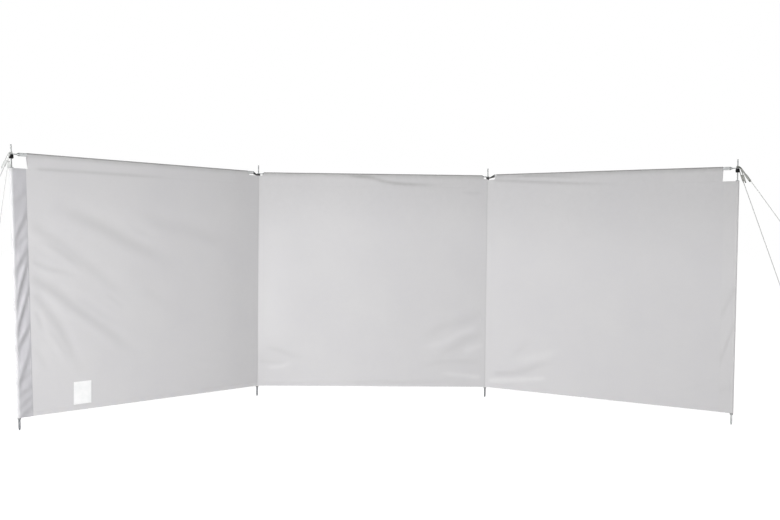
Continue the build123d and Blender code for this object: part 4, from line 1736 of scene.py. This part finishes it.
MIDDLE_FOLDS = (
    Fold(curve((0.55, 1.448), (0.72, 1.437), (0.82, 1.413), (0.92, 1.399), (1.05, 1.394), (1.27, 1.390)),
         -0.0034, 0.014, 0.16, 0.50, 0.38),
    Fold(curve((1.18, 0.158), (1.33, 0.148), (1.48, 0.130)), -0.0030, 0.017, 0.30, 0.10, -0.20),
    Fold(curve((1.05, 0.325), (1.20, 0.355), (1.33, 0.420), (1.46, 0.465)), 0.0, 0.026, 0.25, 0.20, -0.11),
    Fold(curve((1.34, 0.295), (1.42, 0.325), (1.49, 0.350)), 0.0, 0.022, 0.30, 0.20, -0.14),
    Fold(curve((0.05, 0.190), (0.15, 0.195), (0.24, 0.225)), -0.0012, 0.016, 0.30, 0.40, -0.15),
    # a painted highlight down the middle panel's left edge
    Fold(((0.05, 0.26), (0.05, 1.20)), 0.0, 0.17, 0.20, 0.45, -0.13),
    Fold(curve((1.04, 0.39), (1.21, 0.465), (1.31, 0.487), (1.48, 0.56)), 0.0050, 0.040, 0.40, 0.06, 0.03),
    Fold(curve((1.15, 0.27), (1.21, 0.29), (1.30, 0.34), (1.37, 0.385), (1.49, 0.42)),
         0.0042, 0.035, 0.45, 0.06, 0.05),
    Fold(curve((1.04, 0.205), (1.22, 0.235), (1.36, 0.237), (1.48, 0.23)), 0.0025, 0.022, 0.35, 0.10, 0.05),
    Fold(curve((0.03, 0.33), (0.15, 0.30), (0.24, 0.265), (0.36, 0.25)), -0.0023, 0.022, 0.25, 0.50, 0.08),
    Fold(curve((0.01, 0.23), (0.12, 0.222), (0.22, 0.215)), -0.0017, 0.014, 0.10, 0.60, 0.08),
    Fold(curve((0.45, 0.13), (0.80, 0.10), (1.10, 0.105), (1.42, 0.12)), 0.0019, 0.022, 0.30, 0.40, 0.04),
    Fold(curve((1.32, 1.347), (1.41, 1.343), (1.47, 1.348)), -0.0009, 0.010, 0.40, 0.30, 0.11),
)
RIGHT_FOLDS = (
    Fold(curve((0.02, 1.430), (0.25, 1.415), (0.42, 1.404), (0.64, 1.392), (0.95, 1.383)),
         -0.0024, 0.012, 0.05, 0.60, 0.28),
    Fold(curve((0.15, 1.450), (0.35, 1.445), (0.52, 1.435), (0.74, 1.424)), -0.0012, 0.009, 0.20, 0.50, 0.20),
    Fold(curve((0.02, 0.112), (0.20, 0.134), (0.44, 0.168)), -0.0036, 0.018, 0.05, 0.16, -0.25),
    Fold(curve((0.18, 0.255), (0.35, 0.290), (0.54, 0.365)), -0.0036, 0.028, 0.30, 0.35, -0.12),
    Fold(curve((0.05, 0.165), (0.20, 0.178), (0.30, 0.21), (0.36, 0.243), (0.50, 0.285)),
         0.0045, 0.025, 0.08, 0.45, 0.08),
    Fold(curve((0.17, 0.28), (0.26, 0.36), (0.34, 0.43)), 0.0031, 0.027, 0.30, 0.50, 0.04),
    Fold(curve((1.46, 0.82), (1.45, 0.68), (1.435, 0.58)), 0.0017, 0.012, 0.25, 0.40, 0.11),
    Fold(curve((1.46, 0.56), (1.45, 0.44), (1.435, 0.32)), 0.0017, 0.012, 0.25, 0.40, 0.11),
    Fold(curve((1.42, 0.26), (1.25, 0.18), (1.05, 0.15)), 0.0019, 0.022, 0.10, 0.60, 0.04),
)
# the last number of a gather is its share of the sleeve's painted shade
LEFT_GATHERS = (
    Gather(1.245, 0.04, 0.0012, 0.018, 0.4), Gather(1.125, 0.12, 0.0034, 0.026, 0.8),
    Gather(1.025, 0.05, 0.0014, 0.018, 0.5), Gather(0.940, 0.10, 0.0038, 0.026, 0.9),
    Gather(0.870, 0.21, 0.0060, 0.036), Gather(0.715, 0.20, 0.0064, 0.036), Gather(0.535, 0.10, 0.0046, 0.025),
    Gather(0.385, 0.13, 0.0052, 0.036, 0.3), Gather(0.300, 0.045, 0.0018, 0.016, 0.6),
    Gather(0.220, 0.035, 0.0016, 0.015, 0.5), Gather(0.165, 0.045, 0.0014, 0.015, 0.5),
    Gather(0.110, 0.045, 0.0020, 0.016, 0.7),
)
RIGHT_GATHERS = (
    Gather(0.64, -0.13, 0.0014, 0.026), Gather(0.38, -0.19, 0.0014, 0.026),
    Gather(0.19, -0.03, 0.0010, 0.020, 0.5),
)


def main() -> None:
    """Build the windbreak in its studio."""
    logging.basicConfig(level=logging.INFO, format="%(name)s: %(message)s")
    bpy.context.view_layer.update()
    Studio().build()
    Windbreak(build_finishes()).build()


if __name__ == "__main__":
    main()
